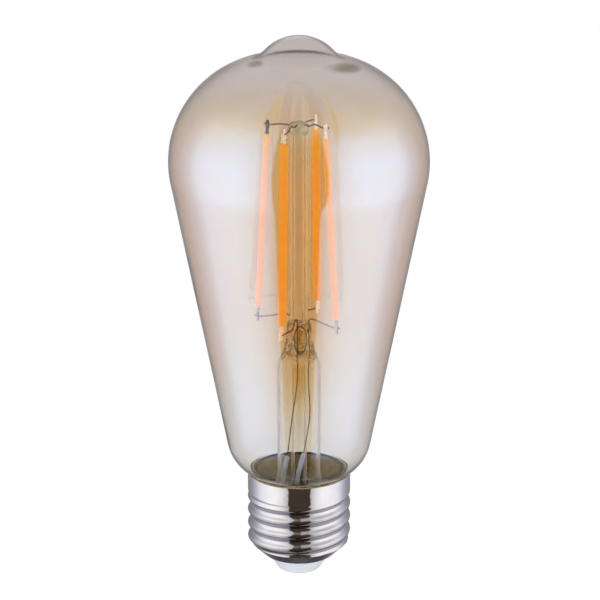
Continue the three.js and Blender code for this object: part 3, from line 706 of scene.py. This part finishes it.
def pinched(angle, r, z):
    """Plain tube below; above, the jaws' dents between the wires and the folds that they leave."""
    press = ease(z, STEM_SHOULDER_Z, STEM_TOP_Z + 1)
    if r < 0.3 or press == 0:
        return drawn_unevenly(angle, r, z)
    bulge = sin(pi * min(max((z - STEM_TOP_Z) / (PRESS_TOP_Z - STEM_TOP_Z), 0), 1)) ** 2
    dent = 0.16 * (1 - cos(4 * (angle - radians(20)))) / 2
    fold = noise((1.6 * cos(angle), 1.6 * sin(angle), z * 0.6)) * 0.26
    fine = noise((5 * cos(angle), 5 * sin(angle), z * 2.2)) * 0.10
    share = min(r / 1.5, 1)
    return r + press * share * ((fold + fine) * (0.3 + 0.7 * bulge) - dent * bulge - 0.06), z


PRESSED_FROM_Z = 57.5
# Bubbles caught in the press: middle and half sizes. The long one is the flattened pump-out bore.
BUBBLES = [
    ((0.4, 0, 63.6), (0.75, 0.45, 2.4)), ((-2.7, -0.3, 62.3), (0.42, 0.4, 0.6)),
    ((-1.8, 0.1, 61.0), (0.36, 0.36, 0.42)), ((-3.1, 0.1, 60.4), (0.32, 0.3, 0.4)),
    ((-1.9, -0.4, 64.4), (0.28, 0.3, 0.55)), ((2.6, 0.2, 60.9), (0.34, 0.34, 0.3)),
    ((2.4, -0.2, 63.2), (0.22, 0.25, 0.5)),
]


def pressed_stem():
    """Stem and press are one piece of glass, melted together round the wires."""
    outside, inside = stem_outline()
    bm = bmesh.new()
    add_turned(bm, [*inside, *outside], 72, pinched)
    glass = to_mesh("pressed_stem", bm)
    bm = bmesh.new()
    for k, (centre, size) in enumerate(BUBBLES):
        add_bead(bm, Matrix.Identity(4), centre, size, 60 + 9 * k)
    voids = to_mesh("bubbles", bm)
    bm = bmesh.new()
    bm.from_mesh(voids)
    bmesh.ops.reverse_faces(bm, faces=bm.faces)
    bm.from_mesh(glass)
    bm.to_mesh(glass)
    bm.free()
    return glass


stem_nodes = ["stem_tube", "stem_press"]
stem = finish_piece("stem_pressed", pressed_stem(), "clear_glass", stem_nodes, "stem_glass")
stem.data.materials.append(MATERIALS["press_glass"])
for face in stem.data.polygons:
    face.material_index = int(face.center.z > PRESSED_FROM_Z * MM)

tip = EXHAUST_TIP_Z
outline = [
    (0, tip), (0.7, tip + 0.35), (1.5, tip + 1.5), (EXHAUST_R, tip + 3.6),
    (EXHAUST_R, STEM_TOP_Z), (EXHAUST_BORE, STEM_TOP_Z), (EXHAUST_BORE, tip + 4),
    (0.8, tip + 2.2), (0, tip + 1.4),
]
outline = divided(rounded(outline, 0.5), 2)
turned_piece(
    "exhaust_drawn", "exhaust_tube", "clear_glass", outline, 48, drawn_unevenly, "exhaust_glass"
)

low, high = PRESS_TOP_Z + 0.02, BUTTON_BOTTOM_Z - 0.02
outline = [
    (COLUMN_BORE, low), (COLUMN_R, low), (COLUMN_R, high), (COLUMN_BORE, high),
    (COLUMN_BORE, low),
]
outline = divided(outline, 1.5)[:-1]
turned_piece("column_drawn", "support_column", "clear_glass", outline, 56, drawn_unevenly)


def gathered(angle, r, z):
    """The bead swells round each wire and is dimpled between them."""
    if r < 0.4:
        return r, z
    turned_away = [(degrees(angle) - top_deg + 180) % 360 - 180 for _, top_deg, _, _ in FILAMENTS]
    near = max(exp(-((away / 24) ** 2)) for away in turned_away)
    share = min(max((z - BUTTON_BOTTOM_Z) / (BUTTON_TOP_Z - BUTTON_BOTTOM_Z), 0), 1)
    return r + (0.16 * near - 0.10) * sin(pi * share), z


outline = [
    (0, BUTTON_BOTTOM_Z), (COLUMN_R, BUTTON_BOTTOM_Z), (COLUMN_R + 0.35, BUTTON_BOTTOM_Z + 1),
    (COLUMN_R + 0.35, BUTTON_TOP_Z - 0.8), (COLUMN_R - 0.6, BUTTON_TOP_Z),
    (0, BUTTON_TOP_Z - 0.5),
]
outline = divided(rounded(outline, 0.8), 0.3)
turned_piece(
    "button_gathered", "column_button", "clear_glass", outline, 64, gathered, "button_glass"
)


# ---- LED filaments and terminals ----
def strip_frame(top_radius, top_deg, foot_radius, foot_deg):
    """A strip's matrix, +X outward and +Z up along it, and its length."""
    upper = polar(top_radius, top_deg, FILAMENT_TOP_Z)
    lower = polar(foot_radius, foot_deg, FILAMENT_FOOT_Z)
    middle = (upper + lower) / 2
    along = (upper - lower).normalized()
    sideways = along.cross(Vector((middle.x, middle.y, 0))).normalized()
    outward = sideways.cross(along)
    matrix = Matrix((outward, sideways, along)).transposed().to_4x4()
    matrix.translation = middle
    return matrix, (upper - lower).length


STRIPS = [strip_frame(*f) for f in FILAMENTS]


def filament_section(width, thickness, sides=28):
    """A flat strip with full round edges, as (outward, sideways) points."""
    points = []
    for i in range(sides):
        a = 2 * pi * i / sides
        out = copysign(abs(cos(a)) ** 0.55, cos(a))
        across = copysign(abs(sin(a)) ** 0.45, sin(a))
        points.append((thickness / 2 * out, width / 2 * across))
    return points


FILAMENT_STEPS = 110
FILAMENT_END = 0.55


def led_filament(i):
    """The coated strip: domed faces, uneven silicone, and a pinched-off drop at each end."""
    matrix, length = STRIPS[i]
    rings = []
    for k in range(FILAMENT_STEPS + 1):
        z = -length / 2 + length * k / FILAMENT_STEPS
        from_end = min(z + length / 2, length / 2 - z)
        close = min(from_end / FILAMENT_END, 1)
        end_round = 0.35 + 0.65 * sqrt(max(0.0, 1 - (1 - close) ** 2))
        thick = FILAMENT_THICKNESS * (0.94 + 0.06 * noise((z * 0.35, i * 7, 0)))
        wide = FILAMENT_WIDTH * (0.965 + 0.03 * noise((z * 0.22, i * 3, 5)))
        ring = []
        for x, y in filament_section(wide * (0.55 + 0.45 * end_round), thick * end_round):
            lump = 1 + 0.02 * noise((x * 2, y * 2, z * 0.9 + i * 11))
            ring.append(matrix @ Vector((x * lump, y * lump, z)))
        rings.append(ring)
    bm = bmesh.new()
    add_rings(bm, rings, closed=False, caps=True)
    return to_mesh(f"led_filament_{i + 1}", bm)


# How far the middle of a support wire lies from the middle of its lug.
WIRE_SIDE = TERMINAL_THICKNESS / 2 + WIRE_R + 0.08
# The second and fourth strips get the paler coating with its painted sheen.
COATINGS = ["phosphor", "phosphor_painted_sheen", "phosphor", "phosphor_painted_sheen"]
LUG_METALS = {
    "top": ["weld_bead", "burnt_metal", "weld_bead", "weld_bead"],
    "bottom": ["weld_bead", "dull_metal", "weld_bead", "dull_metal"],
}
# How many drops of weld metal run down each lug.
DROPS = {"top": [1, 0, 3, 1], "bottom": [3, 0, 4, 0]}


def terminal(i, end):
    """The stamped lug: crimped on the strip, and folded and welded round the wire."""
    matrix, length = STRIPS[i]
    side = 1 if end == "top" else -1
    crossing = TOP_CROSSING if end == "top" else FOOT_CROSSING
    start = side * (length / 2 + GAP)

    def at(along):
        return start + side * along

    bm = bmesh.new()
    half = TERMINAL_WIDTH / 2
    blade = [
        (0, half * 0.9), (0.45, half * 0.9), (0.7, half * 0.7), (1.1, half * 0.7), (1.4, half),
        (TERMINAL_LENGTH - 0.3, half), (TERMINAL_LENGTH, half * 0.5),
    ]
    rings = []
    flat = TERMINAL_THICKNESS / 2
    for along, wide in divided(blade, 0.2):
        bent = 0.05 * sin(2.2 * along + i)
        chamfer, edge = wide * 0.86, flat * 0.6
        corners = [(wide, -edge), (wide, edge), (chamfer, flat), (-chamfer, flat)]
        corners += [(-wide, edge), (-wide, -edge), (-chamfer, -flat), (chamfer, -flat)]
        rings.append([matrix @ Vector((x, y + bent, at(along))) for x, y in corners])
    add_rings(bm, rings, closed=False, caps=True)
    cross = Vector((0.1, WIRE_SIDE * 0.62, side * (length / 2 + crossing)))
    add_bead(bm, matrix, cross, (0.36, 0.34, 0.4), i + (0 if end == "top" else 9))
    if LUG_METALS[end][i] == "weld_bead":
        beyond, before = Vector((0.1, -0.1, side * 0.85)), Vector((-0.1, 0.05, -side * 1.0))
        add_bead(bm, matrix, cross + beyond, (0.28, 0.26, 0.3), i + 20)
        add_bead(bm, matrix, cross + before, (0.24, 0.24, 0.3), i + 31)
    for k in range(DROPS[end][i]):
        middle = (0.42, -0.3 + 0.1 * (k % 2), at(0.55 + 0.72 * k))
        add_bead(bm, matrix, middle, (0.34, 0.36, 0.33), 40 + 7 * k + i)
    add_box(bm, matrix, (0.8, 0.62, 0.75), (0, 0, at(0.42)), 0.08)
    return to_mesh(f"{end}_terminal_{i + 1}", bm)


for i, coating in enumerate(COATINGS):
    node = f"led_filament_{i + 1}"
    finish_piece(f"filament_coated_{i + 1}", led_filament(i), "phosphor", [node], coating)
    for end, metals in LUG_METALS.items():
        node = f"{end}_terminal_{i + 1}"
        finish_piece(f"{end}_lug_{i + 1}", terminal(i, end), "terminal_metal", [node], metals[i])


# ---- wires of the mount ----
# Drawn a little thinner than the CAD's rods.
SUPPORT_R = WIRE_R * 0.8


def support_wire(name, points, material):
    wire(name, points, SUPPORT_R, "support_nickel", material, wobble=0.08)


def at_terminal(i, end, outward):
    """A point on the wire that runs along one face of a terminal."""
    matrix, length = STRIPS[i]
    z = length / 2 + TOP_CROSSING if end == "top" else -length / 2 - FOOT_CROSSING
    return matrix @ Vector((outward, WIRE_SIDE, z))


for i, (radius, deg, _, _) in enumerate(FILAMENTS):
    points = [
        polar(1, deg, TOP_WIRE_Z),
        polar(COLUMN_R + 0.6, deg, TOP_WIRE_Z + TOP_ARCH[i] * 0.2),
        polar(radius * 0.55, deg + 2, TOP_WIRE_Z + TOP_ARCH[i]),
        at_terminal(i, "top", -WIRE_PAST_TERMINAL),
        at_terminal(i, "top", WIRE_PAST_TERMINAL),
    ]
    support_wire(f"top_wire_{i + 1}", points, "scorched_nickel")

# A wire's bends over the press's edge: share of the way to its lug, and height.
OVER_EDGE = [(0.01, 0.7), (0.09, 1.2)]
CURLED_OVER = [(0.01, 0.9), (0.12, 1.6), (0.25, 1.3), (0.34, 0.2), (0.45, -0.3)]
ANCHOR_FOOT_Z = PRESS_TOP_Z - 4
BOTTOM_WIRES = [
    ("anchor_wire_1", ANCHOR_FOOT_Z, [*OVER_EDGE, (0.35, 1.2)]),
    ("anchor_wire_2", ANCHOR_FOOT_Z, OVER_EDGE),
    ("lead_in_wire_left", PRESS_BOTTOM_Z, CURLED_OVER),
    ("lead_in_wire_right", PRESS_BOTTOM_Z, OVER_EDGE),
]
for i, (name, foot_z, bends) in enumerate(BOTTOM_WIRES):
    press = polar(WIRE_RING, PRESS_WIRE_DEG[i], PRESS_TOP_Z)
    end = at_terminal(i, "bottom", -WIRE_PAST_TERMINAL)
    points = [Vector((press.x, press.y, foot_z)), Vector((press.x, press.y, PRESS_TOP_Z - 0.4))]
    for share, height in bends:
        bend = press.lerp(end, share)
        points.append(Vector((bend.x, bend.y, PRESS_TOP_Z + height)))
    points += [end, at_terminal(i, "bottom", WIRE_PAST_TERMINAL)]
    support_wire(name, points, "scorched_nickel" if i in (0, 2) else "support_nickel")

LEFT_TOP = polar(WIRE_RING, PRESS_WIRE_DEG[2], PRESS_BOTTOM_Z - GAP)
RIGHT_TOP = polar(WIRE_RING, PRESS_WIRE_DEG[3], PRESS_BOTTOM_Z - GAP)
SLEEVE_END_Z = BOARD_TOP_Z + 2 * GAP
LEADS = {
    "left": [LEFT_TOP, (LEFT_TOP.x, LEFT_TOP.y, 53), (-1.9, -2.4, 41), (-2.9, -1.15, 31.9)],
    "right": [RIGHT_TOP, (RIGHT_TOP.x, RIGHT_TOP.y, 52), (2.7, -1.7, 43), (1.2, -3.05, 33.4)],
}
SLEEVES = {
    "left": [
        (-2.92, -1.13, 31.7), (-3.45, -1, 28.5), (-4.2, -0.8, 24.5), (-4.6, -1.4, 20),
        (-4.8, -2.2, SLEEVE_END_Z),
    ],
    "right": [
        (1.15, -3.08, 33.2), (0.4, -3.35, 30), (-0.3, -3.7, 26.5), (-0.6, -5.2, SLEEVE_END_Z),
    ],
}
for side in LEADS:
    wire(f"lead_wire_{side}", LEADS[side], THIN_WIRE_R, "copper", wobble=0.08)
    sleeve_path = SLEEVES[side]
    wire(f"lead_sleeve_{side}", sleeve_path, SLEEVE_R, "white_sleeve", sides=20, wobble=0.05)


# ---- screw cap ----
def shell_radius(angle, z):
    """The rolled shell outside: the thread, its run-out into the collar and the taper below."""
    turns = ((angle + pi) % (2 * pi) - 2 * pi) / (2 * pi)
    phase = (z - THREAD_CREST_Z) / THREAD_PITCH - turns
    middle, depth = (THREAD_MAJOR + THREAD_MINOR) / 2, (THREAD_MAJOR - THREAD_MINOR) / 2
    rolled = middle + depth * cos(2 * pi * phase)
    collar = ease(z, THREAD_TOP_Z - 0.7, THREAD_TOP_Z + 0.9)
    wall = rolled + (COLLAR_R - rolled) * collar
    return min(wall, TAPER_R - (TAPER_TOP_Z - z))


def rolled_sheet(angle, r, z):
    """Points of the rolled wall give minus their depth below its skin for a radius."""
    return (r if r > 0 else shell_radius(angle, z) + r), z


ROLL_FOOT_Z, ROLL_TOP_Z = TAPER_TOP_Z - 0.4, THREAD_TOP_Z + 1
levels = [ROLL_FOOT_Z + (ROLL_TOP_Z - TAPER_TOP_Z + 0.4) * k / 110 for k in range(111)]
foot = [
    (CAP_LIP_R, CAP_LIP_Z), (CAP_LIP_R + 0.9, CAP_LIP_Z), (TAPER_R - 0.4, ROLL_FOOT_Z),
]
rim = [
    (COLLAR_R, ROLL_TOP_Z + 0.2), (COLLAR_R, CAP_RIM_Z), (COLLAR_R - CAP_WALL, CAP_RIM_Z),
    (COLLAR_R - CAP_WALL, ROLL_TOP_Z + 0.2),
]
outline = [
    *divided(rounded(foot, 0.8, 5), 0.6)[:-1],
    *[(0, z) for z in levels],
    *divided(rounded(rim, 0.16), 0.8),
    *[(-CAP_WALL, z) for z in reversed(levels)],
    (TAPER_R - 0.9, TAPER_TOP_Z - 0.2), (CAP_LIP_R + 0.7, CAP_LIP_Z + CAP_WALL),
    (CAP_LIP_R, CAP_LIP_Z + CAP_WALL),
]
turned_piece("cap_rolled", "cap_shell", "nickel_plate", outline, 120, rolled_sheet)

SEAT_Z = CAP_LIP_Z + CAP_WALL + GAP
outline = [
    (1.2, 4.2), (1.2, 0.8), (5.2, 0.8), (5.6, 1.15), (6.9, 3.2), (CAP_LIP_R - 0.5, 4.5),
    (CAP_LIP_R - GAP, CAP_LIP_Z), (CAP_LIP_R - GAP, SEAT_Z), (CAP_LIP_R + 0.55, SEAT_Z),
    (9.9, 6.8), (9.9, 7.4), (9.1, 7.4), (6.6, 4.6), (1.2, 4.2),
]
outline = divided(rounded(outline, 0.35)[:-1], 0.8)
turned_piece("insulator_moulded", "cap_insulator", "white_insulator", outline, 96)


def struck(angle, r, z):
    """Small strike marks round the underside of the contact's rim."""
    mark = 0.06 * max(0.0, cos(6 * angle)) ** 8 if z < 0.7 else 0
    return r, z + mark * ease(r, 2.8, 3.3) * (1 - ease(r, 3.4, 3.9))


outline = [
    (0, 0), (0.8, 0), (1.0, 0.12), (1.3, 0.12), (1.5, 0), (2.6, 0), (3.4, 0.22), (3.9, 0.5),
    (3.9, 0.7), (1.1, 0.7), (1.1, 4.3), (0.8, 4.6), (0, 4.6),
]
outline = divided(rounded(outline, 0.2), 0.35)
turned_piece("contact_struck", "centre_contact", "contact_tin", outline, 72, struck)


def neck_radius(z):
    share = (z - NECK_END_Z) / (NECK_TOP_Z - NECK_END_Z)
    return NECK_END_R + (NECK_R - NECK_END_R) * share


def slumped(angle, r, z):
    """Cement creeps unevenly at the collar's mouth."""
    creep = 0.1 * noise((4 * cos(angle), 4 * sin(angle), 3)) + 0.22
    return r, z + creep * ease(z, 26, 26.8)


CEMENT_FOOT_Z = 19.5
outline = [
    (neck_radius(CEMENT_FOOT_Z) + 0.15, CEMENT_FOOT_Z), (11.55, CEMENT_FOOT_Z),
    (11.55, THREAD_TOP_Z + 0.3), (12.5, THREAD_TOP_Z + 1.5), (12.5, 27.2),
    (NECK_R + 0.15, NECK_TOP_Z - 0.1), (neck_radius(CEMENT_FOOT_Z) + 0.15, CEMENT_FOOT_Z),
]
outline = divided(rounded(outline, 0.15)[:-1], 0.7)
turned_piece("cement_ring", "cap_cement", "cement", outline, 120, slumped)


# ---- driver and radio ----
UNDER_BOARD = BOARD_BOTTOM_Z - GAP
RADIO_TOP_Z = BOARD_TOP_Z + GAP + 0.7


def out_of_round(angle, r, z):
    return r + 0.018 * sin(3 * angle + z), z


outline = [(10.42, 8.6), (10.68, 8.6), (10.68, 14.9), (10.42, 14.9), (10.42, 8.6)]
outline = divided(rounded(outline, 0.1, 3), 0.6)[:-1]
turned_piece("film_rolled", "driver_insulation", "tan_film", outline, 120, out_of_round)


def filter_capacitor():
    """An aluminium can with a rolled groove at its seal and a stepped, domed end."""
    top, foot, r = UNDER_BOARD, UNDER_BOARD - 5.6, 3.1
    outline = [
        (0, foot + 0.12), (1.1, foot + 0.12), (1.25, foot + 0.02), (r - 0.35, foot),
        (r - 0.05, foot + 0.35), (r, foot + 0.8), (r, top - 1.7), (r - 0.05, top - 1.4),
        (r - 0.42, top - 1.15), (r - 0.05, top - 0.9), (r, top - 0.6), (r - 0.3, top - 0.05),
        (r - 0.8, top - 0.12), (0, top - 0.12),
    ]
    return divided(rounded(outline, 0.12, 3), 0.5)


def power_inductor():
    """A bobbin with two flanges and wire wound between them, turn by turn."""
    top, foot, flange, turns, steps = UNDER_BOARD, UNDER_BOARD - 5, 2.6, 15, 4
    low, high = foot + 0.7, top - 0.7
    winding = []
    for k in range(turns * steps + 1):
        z = low + (high - low) * k / (turns * steps)
        winding.append((2.28 + 0.09 * abs(sin(pi * k / steps)), z))
    edge = [(flange - 0.1, 0), (flange, 0.1), (flange, 0.55), (flange - 0.1, 0.65)]
    lower = [(r, foot + z) for r, z in edge]
    upper = [(r, top - z) for r, z in reversed(edge)]
    return [(0, foot), *lower, *winding, *upper, (0, top)]


def fusible_resistor():
    """A lacquered body, thicker over its two end caps."""
    foot, top, r = 6.7, 11.3, 1.3
    outline = [
        (0, foot), (0.6, foot + 0.02), (r - 0.12, foot + 0.3), (r, foot + 0.7),
        (r - 0.02, foot + 1.1), (r - 0.22, foot + 1.5), (r - 0.24, top - 1.5),
        (r - 0.02, top - 1.1), (r, top - 0.7), (r - 0.12, top - 0.3), (0.6, top - 0.02), (0, top),
    ]
    return rounded(outline, 0.2, 3)


# Name, CAD node, slot, outline and place on the board.
ROUND_PARTS = [
    ("capacitor_can", "filter_capacitor", "can_aluminium", filter_capacitor(), (4.2, 3.4)),
    ("inductor_wound", "power_inductor", "coil_tape", power_inductor(), (-4.6, 3.6)),
    ("resistor_dipped", "fusible_resistor", "resistor_body", fusible_resistor(), (0, -3.4)),
]
for name, node, slot, outline, centre in ROUND_PARTS:
    turned_piece(name, node, slot, outline, 48, centre=centre)


def box_piece(name, node, slot, origin, lumps, bevel):
    """Rounded boxes, each (size, centre) from the origin, as one mesh, with or without a node."""
    bm = bmesh.new()
    for size, centre in lumps:
        add_box(bm, Matrix.Translation(origin), size, centre, min(bevel, min(size) * 0.3))
    finish_piece(name, to_mesh(node or name, bm), slot, [node] if node else [])


def legs(count, pitch, reach, drop, side):
    """Gull-wing legs along both long sides of a chip: a shank and a foot each."""
    lumps = []
    for k in range(count):
        along = (k - (count - 1) / 2) * pitch
        for way in (-1, 1):
            shank, foot = way * (side + 0.12), way * (side + reach / 2)
            lumps.append(((0.22, 0.36, drop), (shank, along, -drop / 2)))
            lumps.append(((reach, 0.36, 0.16), (foot, along, -0.08)))
    return lumps


CHIP, RECTIFIER, RADIO = (5.4, -2.6), (-4.6, -3.2), (3.9, 3.6)
SHIELD, ANTENNA = (3.2, 3.6), (6.3, 3.6)
ON_RADIO = RADIO_TOP_Z + GAP
pads = [((0.3, 0.5, 0.7), (way * 3.04, k - 2.5, 0)) for k in range(6) for way in (-1, 1)]
clips = [((0.5, 0.12, 0.3), (k * 1.1, way * 2.33, -0.45)) for k in (-1, 0, 1) for way in (-1, 1)]
lid = [((4.4, 4.8, 0.95), (0, 0, -0.17)), ((4.1, 4.5, 0.4), (0, 0, 0.44))]
caps = [((0.9, 0.5, 0.8), (0, way * 1.85, 0)) for way in (1, -1)]
# Place on the board, height, boxes and bevel, for each name, CAD node and slot.
BOXY_PARTS = {
    ("rectifier_moulded", "bridge_rectifier", "black_epoxy"): (
        RECTIFIER, UNDER_BOARD - 0.85, [((3.4, 3.5, 1.3), (0, 0, -0.2))], 0.16
    ),
    ("chip_moulded", "driver_chip", "black_epoxy"): (
        CHIP, UNDER_BOARD - 0.75, [((2.9, 4.5, 1.1), (0, 0, -0.2))], 0.14
    ),
    ("radio_board_cut", "radio_board", "board_brown"): (
        RADIO, RADIO_TOP_Z - 0.35, [((6.2, 5.8, 0.68), (0, 0, 0)), *pads], 0.06
    ),
    ("shield_folded", "radio_shield", "can_aluminium"): (
        SHIELD, ON_RADIO + 0.65, [*lid, *clips], 0.12
    ),
    ("antenna_fired", "chip_antenna", "ceramic"): (
        ANTENNA, ON_RADIO + 0.4, [((0.82, 3.4, 0.74), (0, 0, 0)), *caps], 0.06
    ),
    ("chip_legs", None, "terminal_metal"): (
        CHIP, UNDER_BOARD, legs(4, 1.1, 0.5, 0.9, 1.45), 0.04
    ),
    ("bridge_legs", None, "terminal_metal"): (
        RECTIFIER, UNDER_BOARD, legs(2, 2.0, 0.5, 1.0, 1.7), 0.04
    ),
}
for (name, node, slot), (place, z, lumps, bevel) in BOXY_PARTS.items():
    box_piece(name, node, slot, (*place, z), lumps, bevel)

# Solder joints on the board, where leads and parts come through, in four widths.
JOINTS = [
    (-4.8, -2.2), (-0.6, -5.2), (8.3, -1.5), (0, -3.4), (-6.4, 3.6), (-2.8, 3.6), (-3.4, -4.4),
    (-5.8, -4.4),
]
FILLET = [(0, 0), (0.62, 0), (0.5, 0.12), (0.3, 0.24), (0.16, 0.34), (0, 0.38)]
bm = bmesh.new()
for k, centre in enumerate(JOINTS):
    joint = [(r * (1 + 0.05 * (k % 4)), BOARD_TOP_Z + 0.01 + z) for r, z in FILLET]
    add_turned(bm, joint, 20, centre=centre)
finish_piece("board_solder", to_mesh("board_solder", bm), "terminal_metal", [], "solder")

resistor_run = [(0, -3.4, 11.4), (0.03, -3.42, 11.9), (0, -3.4, 12.5)]
wire("resistor_lead", resistor_run, WIRE_R, "copper")
contact_run = [
    (0, 0, 4.75), (0, 0, 5), (0, -0.7, 5.5), (0, -2.7, 5.7), (0, -3.4, 6.2), (0, -3.4, 6.6),
]
wire("contact_wire", contact_run, WIRE_R, "copper", wobble=0.06)
shell_run = [
    (8.3, -1.5, 13.95), (9.1, -1.6, 14.5), (9.8, -1.8, 15.6), (10.7, -1.9, 16), (11.3, -2, 15.9),
]
wire("shell_wire", shell_run, WIRE_R, "copper", wobble=0.06)

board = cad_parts["driver_board"]
for material_slot in board.material_slots:
    material_slot.material = MATERIALS["board_brown"]
rounding = board.modifiers.new("edge", "BEVEL")
rounding.width = 0.06 * MM
rounding.segments = 2
rounding.limit_method = "ANGLE"


# ---- stage ----
# Strengths of the softboxes that reflections see, of the backdrop and of the light on matt
# surfaces, and how bright the softboxes' dim upper ends are.
SOFTBOX, BACKDROP, DAYLIGHT, CEILING = 2.3, 1.03, 1.35, 0.42
GAP_COLOUR = (0.052, 0.038, 0.028)
# The softboxes' colour by bearing from the front, as shares of half a turn.
BOX_LEVELS = [
    (0.0, GAP_COLOUR), (0.116, GAP_COLOUR), (0.128, (0.48, 0.47, 0.47)),
    (0.195, (0.78, 0.77, 0.775)), (0.28, (0.95, 0.94, 0.955)), (0.36, (1.0, 0.99, 1.01)),
    (0.47, (0.97, 0.96, 0.98)), (0.54, (0.88, 0.87, 0.90)), (0.63, (0.55, 0.545, 0.57)),
    (0.72, (0.33, 0.325, 0.345)), (0.84, (0.20, 0.19, 0.19)), (0.90, (0.15, 0.14, 0.14)),
    (0.96, (0.23, 0.22, 0.22)),
]
# The gap between the softboxes: degrees added on both sides, and bearings where it fades.
GAP_EXTRA = 1.5
GAP_EDGE = (27, 17)
# Heights in degrees between which the gap's right edge moves out, the softboxes come in, they
# dim (counted from their upper edge), and the gap fades.
GAP_LEANS, WALLS_IN, TOP_DIMS, GAP_OUT = (-38, -20), (-54, -22), (-19, 9), (58, 28)
# The softboxes' upper edges: change per degree of bearing, and height in degrees at the front.
LEFT_EDGE, RIGHT_EDGE = (-0.26, 68), (-0.17, 54)


def studio():
    """White all round, but reflections see two tall softboxes with a dark gap in front."""
    world = bpy.data.worlds.new("studio")
    scene.world = world
    t = Tree(world)

    axes = t.add("SeparateXYZ", {0: t.add("TexCoord").outputs["Generated"]})
    x, y, z = axes.outputs
    side = t.math("DEGREES", t.math("ARCTAN2", x, t.product(y, -1)))
    on_left, on_right = t.math("LESS_THAN", side, 0), t.math("GREATER_THAN", side, 0)
    rise = t.math("DEGREES", t.math("ARCSINE", z))
    # The gap reaches further to the right for what leans back less.
    right_reach = t.product(on_right, t.smoothstep(rise, *GAP_LEANS, -2.5, 2.0))
    extra = t.math("ADD", right_reach, GAP_EXTRA)
    bearing = t.math("SUBTRACT", t.math("ABSOLUTE", side), extra)
    walls = t.ramp(t.math("DIVIDE", bearing, 180), BOX_LEVELS)
    walls = t.mix(1.0, walls, t.smoothstep(rise, *WALLS_IN, 0.38, 1.0), "MULTIPLY")
    left_top = t.math("MULTIPLY_ADD", bearing, *LEFT_EDGE)
    right_top = t.math("MULTIPLY_ADD", bearing, *RIGHT_EDGE)
    top = t.math("ADD", t.product(left_top, on_left), t.product(right_top, on_right))
    high = t.smoothstep(t.math("SUBTRACT", rise, top), *TOP_DIMS)
    gap = t.product(t.smoothstep(bearing, *GAP_EDGE), t.smoothstep(rise, *GAP_OUT))
    level = t.mix(t.product(high, t.math("SUBTRACT", 1, gap)), walls, [CEILING] * 3)
    reflected = t.mix(1.0, level, [SOFTBOX] * 3, "MULTIPLY")
    path = t.add("LightPath")
    seen = t.math("MINIMUM", path.outputs["Glossy Depth"], 1)
    diffuse = t.math("MINIMUM", path.outputs["Diffuse Depth"], 1)
    light = t.mix(diffuse, t.mix(seen, [BACKDROP] * 3, reflected), [DAYLIGHT] * 3)
    background = t.add("Background", {"Color": light, "Strength": 1.0})
    t.add("OutputWorld", {"Surface": background.outputs[0]})


FLOOR_Z = -0.9


def floor():
    """A plain pale floor, far below the hanging lamp, which reflections don't see."""
    paint = Surface("floor_paint", roughness=0.9, specular_ior_level=0.0)
    paint.set(base_color=paint.mottle(900, 2, (0.78, 0.78, 0.78), (0.76, 0.76, 0.76)))
    bm = bmesh.new()
    bmesh.ops.create_grid(bm, x_segments=8, y_segments=8, size=40.0)
    mesh = bpy.data.meshes.new("floor")
    bm.to_mesh(mesh)
    bm.free()
    mesh.materials.append(paint.material)
    ground = bpy.data.objects.new("floor", mesh)
    ground.location.z = FLOOR_Z
    ground.visible_glossy = False
    ground.visible_transmission = False
    scene.collection.objects.link(ground)


CAMERA_ELEVATION = radians(18)
CAMERA_DISTANCE = 600
CAMERA_TARGET = Vector((0.25, 0, 72.7))
CAMERA_LENS = 144.6


def camera():
    data = bpy.data.cameras.new("camera")
    data.lens = CAMERA_LENS
    data.sensor_width = 36
    data.clip_start = 0.01
    data.clip_end = 200
    shot = bpy.data.objects.new("camera", data)
    back = Vector((0, -cos(CAMERA_ELEVATION), sin(CAMERA_ELEVATION)))
    shot.location = (CAMERA_TARGET + CAMERA_DISTANCE * back) * MM
    shot.rotation_euler = (pi / 2 - CAMERA_ELEVATION, 0, 0)
    scene.collection.objects.link(shot)
    scene.camera = shot


studio()
floor()
camera()
scene.view_settings.view_transform = "Standard"
scene.cycles.blur_glossy = 0.0
scene.cycles.max_bounces = 32
scene.cycles.transmission_bounces = 32
scene.cycles.glossy_bounces = 12
scene.cycles.transparent_max_bounces = 16
